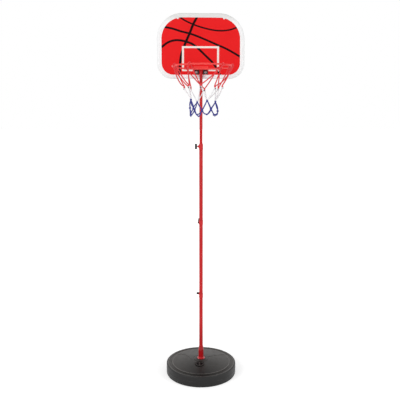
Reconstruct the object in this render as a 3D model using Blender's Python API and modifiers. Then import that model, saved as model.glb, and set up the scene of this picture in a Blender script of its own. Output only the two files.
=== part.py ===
"""Adjustable basketball stand with a fillable round base, in metres, +Z up.

The origin is the centre of the base's underside. The board faces -Y, and the
pole stands on the Z axis. Every size below can be changed by itself: what fits
in, on or against another piece takes its place from the same values.
"""

import math

import bmesh
import bpy
from mathutils import Matrix, Vector

STAND = "adjustable_basketball_stand"
CUTTERS = "cutters"

# Gap kept between meshes that touch on the real stand, and the weld distance.
GAP = 0.0003
WELD = 0.00001
# How far a cutter reaches past the face that it cuts through.
PAST = 0.002

# Pole tubes: three thick sections, and the thin one that slides in the top one.
TUBE_R = 0.0080
TUBE_WALL = 0.0006
LOWER_TUBE_LENGTH = 0.3407
MIDDLE_TUBE_LENGTH = 0.3212
UPPER_TUBE_LENGTH = 0.3227
SPIGOT_LENGTH = 0.034
SHOULDER_SLOPE = 0.0012
THIN_R = 0.0064
THIN_LENGTH = 0.3822
THIN_INSERTION = 0.070
PLUG_FLANGE = 0.006
PLUG_STEM = 0.012
TUBE_SIDES = 24

# Screw sleeves, their flared bosses, the studs and the bar knobs.
SLEEVE_WALL = 0.0006
SLEEVE_BELOW = 0.0125
SCREW_DROP = 0.0075
NECK_CONE = 0.0045
NECK_LIP = 0.0007
BOSS_LENGTH = 0.0061
BOSS_BASE_R = 0.0070
BOSS_TIP_R = 0.0043
BOSS_CHAMFER = 0.0005
BOSS_ROOT = 0.0048
STUD_R = 0.0030
STUD_SHOWS = 0.0026
STUD_IN_KNOB = 0.0055
STUD_CHAMFER = 0.0008
KNOB_LENGTH = 0.0240
KNOB_WIDTH = 0.0095
KNOB_DEPTH = 0.0093
KNOB_WAIST = 0.0080
KNOB_EDGE = 0.0014
# Direction of each screw around the pole, and the roll of its bar, in degrees.
LOWER_SCREW = (110.0, 95.0)
MIDDLE_SCREW = (110.0, 10.0)
UPPER_SCREW = (180.0, 0.0)

# Base tank.
BASE_R = 0.151
BASE_EDGE_Z = 0.0446
BASE_WALL = 0.003
LIP_WIDTH = 0.0135
LIP_RISE = 0.0012
LIP_ROUND = 0.0085
FOOT_ROUND = 0.0042
HUB_Z = 0.0607
HUB_R = 0.0200
HUB_SLOPE = 0.0125
HUB_STEP = 0.0030
STEP_R = 0.1275
STEP_DROP = 0.0016
STEP_SLOPE = 0.0025
WELL_FLOOR = 0.0135
RIB_WIDTH = 0.0024
RIB_RISE = 0.0009
RIB_CLEAR = 0.0035
RIB_ANGLES = (-90.0, 30.0, 150.0)
BASE_SIDES = 48

# Filler neck, its cap and the cap's seal.
CAP_X = -0.0085
CAP_Y = -0.0485
CAP_R = 0.0188
CAP_THICK = 0.0045
CAP_GRIP = 0.0050
CAP_POCKET = 0.0026
CAP_EDGE = 0.0012
CAP_RIM = 0.0045
SEAT_CLEAR = 0.0018
SEAT_SINK = 0.0053
NECK_BORE = 0.0145
PLUG_WALL = 0.0026
PLUG_DEPTH = 0.0090
SEAL_THICK = 0.0012
SEAL_R = 0.0182

# Flanged collar at the pole's foot.
COLLAR_FLANGE_R = 0.0160
COLLAR_FLANGE_THICK = 0.0030
COLLAR_FILLET = 0.0055
COLLAR_BODY_R = 0.0110
COLLAR_TOP_R = 0.0094
COLLAR_HEIGHT = 0.0535
COLLAR_TAPER = 0.0160
COLLAR_SKIRT = 0.0270
COLLAR_SKIRT_R = 0.0110

# Ring and its welded bracket.
RING_R = 0.118
RING_TUBE_R = 0.0035
RING_STANDOFF = 0.0135
TONGUE_THICK = 0.0030
TONGUE_WIDTH = 0.052
PLATE_CLEAR = 0.0004
PLATE_THICK = 0.0020
PLATE_WIDTH = 0.062
PLATE_BELOW = 0.0210
PLATE_ABOVE = 0.0130
PEG_LENGTH = 0.030

# Board: white frame, printed card, bolts.
FRAME_WIDTH = 0.3652
FRAME_HEIGHT = 0.2683
FRAME_BELOW_RING = 0.0380
FRAME_DEPTH = 0.0170
BORDER_SIDE = 0.0198
BORDER_TOP = 0.0187
BORDER_BOTTOM = 0.0160
WINDOW_R_TOP = 0.0870
WINDOW_R_BOTTOM = 0.0480
FRAME_EDGE = 0.0026
LIP_THICK = 0.0017
CARD_THICK = 0.0018
CARD_MARGIN = 0.0040
RIB_THICK = 0.0024
PAD_MARGIN = 0.0040
BORDER_WALL = 0.0036
TAB_X = 0.0960
TAB_WIDTH = 0.0070
TAB_DROP = 0.0065
BOLT_SPACING = 0.0368
BOLT_R = 0.0030
BOLT_HEAD_R = 0.0056
BOLT_HEAD = 0.0038
BOLT_PAST_NUT = 0.0020
BOLT_CHAMFER = 0.0006
WASHER_WIDTH = 0.0206
WASHER_HEIGHT = 0.0166
WASHER_THICK = 0.0025
WASHER_BELOW_RING = 0.0117
WASHER_EDGE = 0.0006
BACK_PLATE_HEIGHT = 0.0200
NUT_R = 0.0058
NUT_THICK = 0.0050

# Places of the board's ribs, as shares of the window's width and height.
UPRIGHT_RIB_SHARES = (-0.3, -0.1, 0.1, 0.3)
LEVEL_RIB_SHARES = (0.38, 0.70)

# Net: four zigzag rows of cord below the ring, eight meshes round.
NET_MESHES = 8
CORD_R = 0.0022
NET_R1 = 0.0740
NET_R2 = 0.0506
NET_R3 = 0.0556
NET_R4 = 0.0517
NET_DROP1 = 0.0835
NET_DROP2 = 0.0499
NET_DROP3 = 0.0345
NET_DROP4 = 0.0315
# The first knots hang this far round from the middle between two ring loops.
NET_TURN = -9.3
STRAND_SAG = 0.0040
# How far each turn of cord has slid along the ring, in degrees, and the sag of
# the strands on its two sides, in order round the ring from the right.
TURN_SLIDES = (-5.0, -14.0, 7.5, 0.0, 0.0, -5.0, 15.0, 4.0)
RED_SAGS = (
    (0.0040, 0.0030),
    (0.0030, 0.0030),
    (0.0030, 0.0080),
    (0.0070, 0.0170),
    (0.0060, 0.0030),
    (0.0030, 0.0030),
    (0.0040, 0.0120),
    (0.0070, 0.0070),
)
BEND = 0.0030


def srgb(red, green, blue):
    """Colour written as 0-255 screen values, returned for a material."""
    values = []
    for level in (red, green, blue):
        share = level / 255.0
        values.append(share / 12.92 if share <= 0.04045 else ((share + 0.055) / 1.055) ** 2.4)
    return (values[0], values[1], values[2], 1.0)


def new_material(name, colour, roughness, metallic=0.0):
    material = bpy.data.materials.new(name)
    material.use_nodes = True
    shader = material.node_tree.nodes["Principled BSDF"]
    shader.inputs["Base Color"].default_value = colour
    shader.inputs["Roughness"].default_value = roughness
    shader.inputs["Metallic"].default_value = metallic
    material.diffuse_color = colour
    return material


def clear_scene():
    for old in list(bpy.data.objects):
        bpy.data.objects.remove(old, do_unlink=True)
    for old in list(bpy.data.collections):
        bpy.data.collections.remove(old)


def new_object(name, mesh, collection=CUTTERS):
    made = bpy.data.objects.new(name, mesh)
    bpy.data.collections[collection].objects.link(made)
    if collection == CUTTERS:
        made.hide_render = True
        made.display_type = "WIRE"
    return made


def box(name, low, high, collection=CUTTERS):
    """Box between two corners."""
    size = [high[i] - low[i] for i in range(3)]
    middle = [(high[i] + low[i]) / 2.0 for i in range(3)]
    shape = bmesh.new()
    bmesh.ops.create_cube(shape, size=1.0)
    bmesh.ops.scale(shape, vec=size, verts=shape.verts)
    bmesh.ops.translate(shape, vec=middle, verts=shape.verts)
    mesh = bpy.data.meshes.new(name)
    shape.to_mesh(mesh)
    shape.free()
    return new_object(name, mesh, collection)


def rod(name, radius, start, end, sides=TUBE_SIDES, collection=CUTTERS):
    """Closed cylinder along its own Z, from start to end."""
    shape = bmesh.new()
    bmesh.ops.create_cone(
        shape, cap_ends=True, segments=sides, radius1=radius, radius2=radius, depth=end - start
    )
    bmesh.ops.translate(shape, vec=(0.0, 0.0, (start + end) / 2.0), verts=shape.verts)
    mesh = bpy.data.meshes.new(name)
    shape.to_mesh(mesh)
    shape.free()
    return new_object(name, mesh, collection)


def settle(item):
    """Turn an object's modifiers, or a curve, into a plain mesh and weld it."""
    graph = bpy.context.evaluated_depsgraph_get()
    graph.update()
    mesh = bpy.data.meshes.new_from_object(item.evaluated_get(graph))
    shape = bmesh.new()
    shape.from_mesh(mesh)
    bmesh.ops.remove_doubles(shape, verts=shape.verts, dist=WELD)
    shape.to_mesh(mesh)
    shape.free()
    if item.type == "MESH":
        item.modifiers.clear()
        item.data = mesh
        return item
    name = item.name
    home = item.users_collection[0].name
    matrix = item.matrix_world.copy()
    bpy.data.objects.remove(item, do_unlink=True)
    made = new_object(name, mesh, home)
    made.matrix_world = matrix
    return made


def turned(name, profile, sides=TUBE_SIDES, ring=False, collection=CUTTERS):
    """Turn a profile of (radius, height) points about Z.

    The profile runs down its outer side. It starts and ends on the axis, or
    it is a closed loop where ring is set.
    """
    points = [(radius, 0.0, height) for radius, height in profile]
    edges = [(i, i + 1) for i in range(len(points) - 1)]
    if ring:
        edges.append((len(points) - 1, 0))
    mesh = bpy.data.meshes.new(name)
    mesh.from_pydata(points, edges, [])
    made = new_object(name, mesh, collection)
    screw = made.modifiers.new("turn", "SCREW")
    screw.axis = "Z"
    screw.steps = sides
    screw.render_steps = sides
    screw.use_merge_vertices = True
    screw.merge_threshold = WELD
    return settle(made)


def slab(name, outline, front, back, collection=CUTTERS):
    """Upright plate: an outline of (x, z) points, from y = front to y = back."""
    flat = bpy.data.curves.new(name, "CURVE")
    flat.dimensions = "2D"
    flat.fill_mode = "BOTH"
    flat.extrude = (back - front) / 2.0
    line = flat.splines.new("POLY")
    line.points.add(len(outline) - 1)
    for point, (across, up) in zip(line.points, outline):
        point.co = (across, up, 0.0, 1.0)
    line.use_cyclic_u = True
    made = new_object(name, flat, collection)
    made.location = (0.0, (front + back) / 2.0, 0.0)
    made.rotation_euler = (math.pi / 2.0, 0.0, 0.0)
    bpy.context.view_layer.update()
    return settle(made)


def cord(name, route, radius, collection=STAND):
    """Closed loop of round cord through the route's points."""
    path = bpy.data.curves.new(name, "CURVE")
    path.dimensions = "3D"
    path.bevel_depth = radius
    path.bevel_resolution = 1
    line = path.splines.new("POLY")
    line.points.add(len(route) - 1)
    for point, spot in zip(line.points, route):
        point.co = (spot.x, spot.y, spot.z, 1.0)
    line.use_cyclic_u = True
    return settle(new_object(name, path, collection))


def boolean(target, tool, operation="DIFFERENCE"):
    modifier = target.modifiers.new(tool.name, "BOOLEAN")
    modifier.operation = operation
    modifier.solver = "EXACT"
    modifier.object = tool
    return target


def soften(target, width, segments=2):
    bevel = target.modifiers.new("edges", "BEVEL")
    bevel.width = width
    bevel.segments = segments
    bevel.limit_method = "ANGLE"
    bevel.angle_limit = math.radians(40.0)
    return target


def finish(item, material, angle=35.0):
    """Give a piece its final mesh, its material and smooth round faces."""
    item = settle(item)
    item.data.name = item.name
    item.data.materials.clear()
    item.data.materials.append(material)
    item.data.shade_smooth()
    item.data.set_sharp_from_angle(angle=math.radians(angle))
    return item


def rounded_outline(width, bottom, top, r_bottom, r_top, steps=8):
    """Rounded rectangle about x = 0, counter-clockwise, as (x, z) points."""
    half = width / 2.0
    corners = (
        (half - r_bottom, bottom + r_bottom, r_bottom, -90.0),
        (half - r_top, top - r_top, r_top, 0.0),
        (-half + r_top, top - r_top, r_top, 90.0),
        (-half + r_bottom, bottom + r_bottom, r_bottom, 180.0),
    )
    points = []
    for across, up, radius, begin in corners:
        for step in range(steps + 1):
            angle = math.radians(begin + 90.0 * step / steps)
            points.append((across + radius * math.cos(angle), up + radius * math.sin(angle)))
    return points


clear_scene()
for collection_name in (STAND, CUTTERS):
    bpy.context.scene.collection.children.link(bpy.data.collections.new(collection_name))

RED_PAINT = new_material("red_paint", srgb(203, 44, 46), 0.32, 0.0)
RED_COLLAR = new_material("red_collar", srgb(196, 38, 44), 0.38, 0.0)
BASE_BLACK = new_material("base_black", srgb(62, 60, 60), 0.45, 0.0)
CAP_BLACK = new_material("cap_black", srgb(38, 36, 36), 0.5, 0.0)
KNOB_BLACK = new_material("knob_black", srgb(48, 42, 42), 0.5, 0.0)
RUBBER_BLACK = new_material("rubber_black", srgb(30, 30, 30), 0.8, 0.0)
STEEL = new_material("zinc_steel", srgb(196, 196, 198), 0.3, 1.0)
WHITE_FRAME = new_material("white_frame", srgb(245, 245, 246), 0.4, 0.0)
PRINT_RED = new_material("print_red", srgb(230, 36, 38), 0.35, 0.0)
CORD_RED = new_material("cord_red", srgb(206, 52, 62), 0.8, 0.0)
CORD_WHITE = new_material("cord_white", srgb(240, 240, 242), 0.8, 0.0)
CORD_BLUE = new_material("cord_blue", srgb(38, 48, 150), 0.8, 0.0)


# Radii and heights that follow from the sizes above.
tube_bore = TUBE_R - TUBE_WALL
spigot_r = tube_bore - GAP
spigot_bore = spigot_r - TUBE_WALL
thin_bore = THIN_R - TUBE_WALL
collar_bore = TUBE_R + GAP
well_r = COLLAR_SKIRT_R + GAP

lower_bottom = WELL_FLOOR + GAP
lower_top = lower_bottom + LOWER_TUBE_LENGTH
middle_shoulder = lower_top + GAP
middle_top = middle_shoulder + MIDDLE_TUBE_LENGTH
upper_shoulder = middle_top + GAP
upper_top = upper_shoulder + UPPER_TUBE_LENGTH
thin_bottom = upper_top - THIN_INSERTION
thin_top = thin_bottom + THIN_LENGTH

tongue_bottom = thin_top + GAP
ring_z = tongue_bottom + TONGUE_THICK / 2.0
ring_y = -(RING_R + RING_TUBE_R + RING_STANDOFF)

plate_front = THIN_R + PLATE_CLEAR
plate_back = plate_front + PLATE_THICK
card_front = plate_back + GAP
card_back = card_front + CARD_THICK
frame_front = card_front - GAP - LIP_THICK
frame_back = frame_front + FRAME_DEPTH
web_front = card_back + GAP
back_plate_front = frame_back + GAP
back_plate_back = back_plate_front + PLATE_THICK
nut_front = back_plate_back + GAP
nut_back = nut_front + NUT_THICK
washer_back = plate_front - GAP
washer_front = washer_back - WASHER_THICK
head_back = washer_front - GAP


def tube(name, profile):
    return turned(name, profile, TUBE_SIDES, ring=True, collection=STAND)


def plain_section(bottom, top, radius, bore):
    return [(radius, top), (radius, bottom), (bore, bottom), (bore, top)]


def spigot_section(shoulder, top):
    """Thick tube whose lower end is drawn in to enter the tube below."""
    end = shoulder - SPIGOT_LENGTH
    return [
        (TUBE_R, top),
        (TUBE_R, shoulder),
        (spigot_r, shoulder),
        (spigot_r, end),
        (spigot_bore, end),
        (spigot_bore, shoulder + TUBE_WALL),
        (tube_bore, shoulder + TUBE_WALL + SHOULDER_SLOPE),
        (tube_bore, top),
    ]


# Screw joints. A screw's own Z axis points out from the pole.
def screw_matrix(height, direction, roll):
    turn = Matrix.Rotation(math.radians(direction), 4, "Z")
    tip = Matrix.Rotation(math.radians(90.0), 4, "Y")
    spin = Matrix.Rotation(math.radians(roll), 4, "Z")
    return Matrix.Translation((0.0, 0.0, height)) @ turn @ tip @ spin


boss_tip = TUBE_R + BOSS_LENGTH
knob_start = boss_tip + STUD_SHOWS
knob_end = knob_start + KNOB_DEPTH
stud_end = knob_start + STUD_IN_KNOB
sleeve_r = TUBE_R + GAP + SLEEVE_WALL


def sleeve_with_boss(name, tube_top, direction, neck):
    """Sleeve round a tube's top end, with the threaded boss on its side."""
    height = tube_top - SCREW_DROP
    bottom = height - SLEEVE_BELOW
    top = tube_top - GAP
    bore_r = TUBE_R + GAP
    if neck:
        neck_r = THIN_R + GAP
        cone_top = tube_top + NECK_CONE
        profile = [
            (0.0, cone_top),
            (neck_r + NECK_LIP, cone_top),
            (sleeve_r, tube_top - GAP),
            (sleeve_r, bottom),
            (0.0, bottom),
        ]
    else:
        profile = [(0.0, top), (sleeve_r, top), (sleeve_r, bottom), (0.0, bottom)]
    sleeve = turned(name, profile, TUBE_SIDES, collection=STAND)
    boss = turned(
        name + "_boss",
        [
            (0.0, boss_tip),
            (BOSS_TIP_R - BOSS_CHAMFER, boss_tip),
            (BOSS_TIP_R, boss_tip - BOSS_CHAMFER),
            (BOSS_TIP_R, TUBE_R + BOSS_LENGTH * 0.55),
            ((BOSS_TIP_R + BOSS_BASE_R) / 2.0, TUBE_R + BOSS_LENGTH * 0.26),
            (BOSS_BASE_R, TUBE_R),
            (BOSS_BASE_R, TUBE_R - BOSS_ROOT),
            (0.0, TUBE_R - BOSS_ROOT),
        ],
        24,
    )
    boss.matrix_world = screw_matrix(height, direction, 0.0)
    boolean(sleeve, boss, "UNION")
    pole_cut = rod(name + "_pole_bore", bore_r, bottom - PAST, tube_top + GAP)
    boolean(sleeve, pole_cut)
    if neck:
        boolean(sleeve, rod(name + "_neck_bore", neck_r, bottom - PAST, cone_top + PAST))
    stud_cut = rod(name + "_stud_bore", STUD_R + GAP, 0.0, boss_tip + PAST, 16)
    stud_cut.matrix_world = boss.matrix_world
    boolean(sleeve, stud_cut)
    return finish(sleeve, RED_PAINT)


def stud_hole(target, tube_top, direction):
    """Hole in a tube's wall that the stud passes through."""
    hole = rod(target.name + "_stud_hole", STUD_R + GAP, 0.0, TUBE_R + PAST, 16)
    hole.matrix_world = screw_matrix(tube_top - SCREW_DROP, direction, 0.0)
    return boolean(target, hole)


def stud(name, tube_top, direction, pressed_r):
    start = pressed_r + GAP
    profile = [
        (0.0, stud_end),
        (STUD_R, stud_end),
        (STUD_R, start + STUD_CHAMFER),
        (STUD_R - STUD_CHAMFER, start),
        (0.0, start),
    ]
    made = turned(name, profile, 16, collection=STAND)
    made.matrix_world = screw_matrix(tube_top - SCREW_DROP, direction, 0.0)
    return finish(made, STEEL)


def bar_knob(name, tube_top, direction, roll):
    """Bar-shaped hand knob with a waist, and a blind hole for its stud."""
    half = KNOB_LENGTH / 2.0
    end_r = KNOB_WIDTH / 2.0
    outline = []
    for side in (1.0, -1.0):
        for step in range(7):
            angle = math.radians(-90.0 + 30.0 * step)
            along = side * (half - end_r + end_r * math.cos(angle))
            outline.append((along, side * end_r * math.sin(angle)))
        outline.append((0.0, side * KNOB_WAIST / 2.0))
    knob = slab(name, outline, 0.0, KNOB_DEPTH, collection=STAND)
    knob.data.transform(Matrix.Translation((0.0, 0.0, knob_start + KNOB_DEPTH / 2.0)))
    soften(knob, KNOB_EDGE)
    hole = rod(name + "_stud_hole", STUD_R + GAP, knob_start - PAST, stud_end + GAP, 16)
    place = screw_matrix(tube_top - SCREW_DROP, direction, roll)
    knob.matrix_world = place
    hole.matrix_world = place
    boolean(knob, hole)
    return finish(knob, KNOB_BLACK)


joints = (
    ("lower", lower_top, LOWER_SCREW, spigot_r),
    ("middle", middle_top, MIDDLE_SCREW, spigot_r),
    ("upper", upper_top, UPPER_SCREW, THIN_R),
)
sections = {
    "lower": tube("pole_lower", plain_section(lower_bottom, lower_top, TUBE_R, tube_bore)),
    "middle": tube("pole_middle", spigot_section(middle_shoulder, middle_top)),
    "upper": tube("pole_upper", spigot_section(upper_shoulder, upper_top)),
}
for label, tube_top, (direction, roll), pressed_r in joints:
    stud_hole(sections[label], tube_top, direction)
    finish(sections[label], RED_PAINT)
    sleeve_with_boss("screw_sleeve_" + label, tube_top, direction, label == "upper")
    stud("stud_" + label, tube_top, direction, pressed_r)
    bar_knob("knob_" + label, tube_top, direction, roll)

finish(tube("pole_thin", plain_section(thin_bottom, thin_top, THIN_R, thin_bore)), RED_PAINT)

plug_top = thin_bottom + PLUG_STEM
plug_flange_top = thin_bottom - GAP
stem_r = thin_bore - GAP
finish(
    turned(
        "slide_plug",
        [
            (0.0, plug_top),
            (stem_r, plug_top),
            (stem_r, plug_flange_top),
            (spigot_r, plug_flange_top),
            (spigot_r, plug_flange_top - PLUG_FLANGE),
            (0.0, plug_flange_top - PLUG_FLANGE),
        ],
        TUBE_SIDES,
        collection=STAND,
    ),
    CAP_BLACK,
)


# Base tank. The top falls gently from the hub to the lip, with one ring step.
lip_inner = BASE_R - LIP_WIDTH
lip_inner_z = BASE_EDGE_Z - LIP_RISE
dome_r = HUB_R + HUB_SLOPE
dome_z = HUB_Z - HUB_STEP


def top_height(radius):
    """Height of the tank's top at a radius between the hub and the lip."""
    share = (radius - dome_r) / (lip_inner - dome_r)
    height = dome_z + (lip_inner_z + STEP_DROP - dome_z) * share
    return height - STEP_DROP if radius > STEP_R else height


def arc(centre, radius, begin, end, steps):
    points = []
    for step in range(steps + 1):
        angle = math.radians(begin + (end - begin) * step / steps)
        points.append((centre[0] + radius * math.cos(angle), centre[1] + radius * math.sin(angle)))
    return points


def tank_profile(inset):
    """Profile of the tank, or of its hollow where inset is the wall."""
    rim_r = BASE_R - inset
    rim_z = BASE_EDGE_Z - inset
    well_side = well_r + inset
    lip_round = LIP_ROUND - inset
    foot_round = FOOT_ROUND - inset
    profile = [
        (0.0, WELL_FLOOR - inset),
        (well_side, WELL_FLOOR - inset),
        (well_side, HUB_Z - inset),
        (HUB_R, HUB_Z - inset),
        (dome_r, dome_z - inset),
        (STEP_R, top_height(STEP_R) - inset),
        (STEP_R + STEP_SLOPE, top_height(STEP_R + STEP_SLOPE) - inset),
        (lip_inner, lip_inner_z - inset),
    ]
    if inset == 0.0:
        profile.append((lip_inner + STEP_SLOPE, BASE_EDGE_Z))
    profile += arc((rim_r - lip_round, rim_z - lip_round), lip_round, 90.0, 0.0, 4)
    profile += arc((rim_r - foot_round, inset + foot_round), foot_round, 0.0, -90.0, 3)
    profile.append((0.0, inset))
    return profile


tank = turned("base_tank", tank_profile(0.0), BASE_SIDES, collection=STAND)
cap_reach = math.hypot(CAP_X, CAP_Y)
neck_z = top_height(cap_reach) - SEAT_SINK
neck_r = CAP_R + SEAT_CLEAR + BASE_WALL
for number, angle in enumerate(RIB_ANGLES):
    # The front rib starts beyond the filler neck, the others near the hub.
    near_cap = math.cos(math.radians(angle) - math.atan2(CAP_Y, CAP_X)) > 0.8
    inner = (cap_reach + neck_r if near_cap else dome_r) + RIB_CLEAR
    outer = STEP_R - RIB_CLEAR
    inner_z = top_height(inner)
    outer_z = top_height(outer)
    length = math.hypot(outer - inner, outer_z - inner_z)
    rib = box(
        "tank_rib_%d" % number,
        (0.0, -RIB_WIDTH / 2.0, -BASE_WALL * 0.6),
        (length, RIB_WIDTH / 2.0, RIB_RISE),
    )
    slope = math.atan2(inner_z - outer_z, outer - inner)
    rib.matrix_world = (
        Matrix.Rotation(math.radians(angle), 4, "Z")
        @ Matrix.Translation((inner, 0.0, inner_z))
        @ Matrix.Rotation(slope, 4, "Y")
    )
    boolean(tank, rib, "UNION")
# The hollow leaves the wall of a round recess, in which the cap lies level
# with the tank's top.
hollow = turned("tank_hollow", tank_profile(BASE_WALL), BASE_SIDES)


def cut_round(target, name, radius, start, end):
    """Take a rod about the cap's axis out of a piece."""
    cutter = rod(name, radius, start, end, 40)
    cutter.location = (CAP_X, CAP_Y, 0.0)
    boolean(target, cutter)


cut_round(hollow, "recess_wall", neck_r, neck_z - BASE_WALL, HUB_Z)
boolean(tank, hollow)
cut_round(tank, "tank_recess", CAP_R + SEAT_CLEAR, neck_z, HUB_Z + PAST)
cut_round(tank, "tank_mouth", NECK_BORE, neck_z - BASE_WALL - PAST, neck_z + PAST)
finish(tank, BASE_BLACK)

# Fill cap and its seal.
seal_bottom = neck_z + GAP
seal_top = seal_bottom + SEAL_THICK
cap_bottom = seal_top + GAP
cap_top = cap_bottom + CAP_THICK
plug_r = NECK_BORE - GAP
seal = turned(
    "cap_seal",
    [
        (SEAL_R, seal_top),
        (SEAL_R, seal_bottom),
        (NECK_BORE, seal_bottom),
        (NECK_BORE, seal_top),
    ],
    40,
    ring=True,
    collection=STAND,
)
seal.location = (CAP_X, CAP_Y, 0.0)
finish(seal, RUBBER_BLACK)
cap = turned(
    "fill_cap",
    [
        (0.0, cap_top),
        (CAP_R - CAP_EDGE, cap_top),
        (CAP_R, cap_top - CAP_EDGE),
        (CAP_R, cap_bottom),
        (plug_r, cap_bottom),
        (plug_r, cap_bottom - PLUG_DEPTH),
        (plug_r - PLUG_WALL, cap_bottom - PLUG_DEPTH),
        (plug_r - PLUG_WALL, cap_bottom),
        (0.0, cap_bottom),
    ],
    40,
    collection=STAND,
)
cap.location = (CAP_X, CAP_Y, 0.0)
pocket_r = CAP_R - CAP_RIM
for name, side in (("left", -1.0), ("right", 1.0)):
    pocket = rod("cap_pocket_" + name, pocket_r, cap_top - CAP_POCKET, cap_top + PAST, 24)
    pocket.location = (CAP_X, CAP_Y, 0.0)
    edge = side * CAP_GRIP / 2.0
    keep = box(
        "cap_keep_" + name,
        (min(edge, -side * CAP_R) - PAST * (side > 0), -CAP_R, cap_top - 2.0 * CAP_POCKET),
        (max(edge, -side * CAP_R) + PAST * (side < 0), CAP_R, cap_top + 2.0 * PAST),
    )
    keep.location = (CAP_X, CAP_Y, 0.0)
    boolean(pocket, keep)
    boolean(cap, pocket)
finish(cap, CAP_BLACK)

# Collar: flange on the hub, skirt in the well, tapered top round the tube.
flange_bottom = HUB_Z + GAP
flange_top = flange_bottom + COLLAR_FLANGE_THICK
collar_top = flange_bottom + COLLAR_HEIGHT
skirt_bottom = flange_bottom - COLLAR_SKIRT
fillet_points = []
for step in range(4):
    share = step / 3.0
    fillet_points.append(
        (
            COLLAR_BODY_R + (COLLAR_FLANGE_R - COLLAR_BODY_R) * share**2.0,
            flange_top + COLLAR_FILLET * (1.0 - share) ** 1.6,
        )
    )
finish(
    turned(
        "pole_collar",
        [(COLLAR_TOP_R, collar_top), (COLLAR_BODY_R, collar_top - COLLAR_TAPER)]
        + fillet_points
        + [
            (COLLAR_FLANGE_R, flange_bottom),
            (COLLAR_SKIRT_R, flange_bottom),
            (COLLAR_SKIRT_R, skirt_bottom),
            (collar_bore, skirt_bottom),
            (collar_bore, collar_top),
        ],
        40,
        ring=True,
        collection=STAND,
    ),
    RED_COLLAR,
)


# Ring and bracket.
bpy.ops.mesh.primitive_torus_add(
    major_radius=RING_R,
    minor_radius=RING_TUBE_R,
    major_segments=56,
    minor_segments=10,
    location=(0.0, ring_y, ring_z),
)
ring = bpy.context.active_object
ring.name = "rim_ring"
for home in list(ring.users_collection):
    home.objects.unlink(ring)
bpy.data.collections[STAND].objects.link(ring)
finish(ring, RED_PAINT)

plate_bottom = ring_z - PLATE_BELOW
plate_top = ring_z + PLATE_ABOVE
bracket = box(
    "rim_bracket",
    (-PLATE_WIDTH / 2.0, plate_front, plate_bottom),
    (PLATE_WIDTH / 2.0, plate_back, plate_top),
    STAND,
)
tongue = box(
    "bracket_tongue",
    (-TONGUE_WIDTH / 2.0, ring_y + RING_R * 0.8, tongue_bottom),
    (TONGUE_WIDTH / 2.0, plate_back - PLATE_THICK / 2.0, tongue_bottom + TONGUE_THICK),
)
ring_space = rod(
    "bracket_ring_space",
    RING_R + RING_TUBE_R + GAP,
    tongue_bottom - PAST,
    tongue_bottom + TONGUE_THICK + PAST,
    128,
)
ring_space.location = (0.0, ring_y, 0.0)
boolean(tongue, ring_space)
boolean(bracket, tongue, "UNION")
peg = rod(
    "bracket_peg",
    thin_bore - GAP,
    tongue_bottom - PEG_LENGTH,
    tongue_bottom + TONGUE_THICK / 2.0,
    TUBE_SIDES,
)
boolean(bracket, peg, "UNION")

bolt_z = ring_z - WASHER_BELOW_RING
bolt_half = BOLT_SPACING / 2.0


def upright_rod(name, radius, across, front, back, sides=20, collection=CUTTERS):
    """Cylinder along Y at bolt height."""
    made = rod(name, radius, front, back, sides, collection)
    made.matrix_world = Matrix.Translation((across, 0.0, bolt_z)) @ Matrix.Rotation(
        math.radians(-90.0), 4, "X"
    )
    return made


def bolt_holes(target, front, back):
    for side_name, side in (("left", -1.0), ("right", 1.0)):
        hole = upright_rod(
            "%s_hole_%s" % (target.name, side_name),
            BOLT_R + GAP,
            side * bolt_half,
            front - PAST,
            back + PAST,
        )
        boolean(target, hole)
    return target


bolt_holes(bracket, plate_front, plate_back)
finish(bracket, RED_PAINT)

for side_name, side in (("left", -1.0), ("right", 1.0)):
    across = side * bolt_half
    washer = box(
        "square_washer_" + side_name,
        (across - WASHER_WIDTH / 2.0, washer_front, bolt_z - WASHER_HEIGHT / 2.0),
        (across + WASHER_WIDTH / 2.0, washer_back, bolt_z + WASHER_HEIGHT / 2.0),
        STAND,
    )
    soften(washer, WASHER_EDGE, 1)
    boolean(
        washer,
        upright_rod(
            "washer_hole_" + side_name,
            BOLT_R + GAP,
            across,
            washer_front - PAST,
            washer_back + PAST,
        ),
    )
    finish(washer, KNOB_BLACK)
    shank_end = nut_back + BOLT_PAST_NUT
    bolt = turned(
        "bolt_" + side_name,
        [
            (0.0, -head_back + BOLT_HEAD),
            (BOLT_HEAD_R * 0.6, -head_back + BOLT_HEAD * 0.92),
            (BOLT_HEAD_R * 0.93, -head_back + BOLT_HEAD * 0.55),
            (BOLT_HEAD_R, -head_back),
            (BOLT_R, -head_back),
            (BOLT_R, -shank_end + BOLT_CHAMFER),
            (BOLT_R - BOLT_CHAMFER, -shank_end),
            (0.0, -shank_end),
        ],
        20,
        collection=STAND,
    )
    bolt.matrix_world = Matrix.Translation((across, 0.0, bolt_z)) @ Matrix.Rotation(
        math.radians(90.0), 4, "X"
    )
    recess_front = head_back - BOLT_HEAD - PAST
    recess_back = head_back - BOLT_HEAD * 0.45
    arm = BOLT_HEAD_R * 0.55
    slot = BOLT_HEAD_R * 0.13
    for bar_name, wide, tall in (("a", arm, slot), ("b", slot, arm)):
        boolean(
            bolt,
            box(
                "bolt_recess_%s_%s" % (side_name, bar_name),
                (across - wide, recess_front, bolt_z - tall),
                (across + wide, recess_back, bolt_z + tall),
            ),
        )
    finish(bolt, STEEL)
    nut = upright_rod("nut_" + side_name, NUT_R, across, nut_front, nut_back, 6, STAND)
    boolean(
        nut,
        upright_rod("nut_bore_" + side_name, BOLT_R + GAP, across, nut_front - PAST, nut_back + PAST),
    )
    finish(nut, STEEL)

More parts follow.
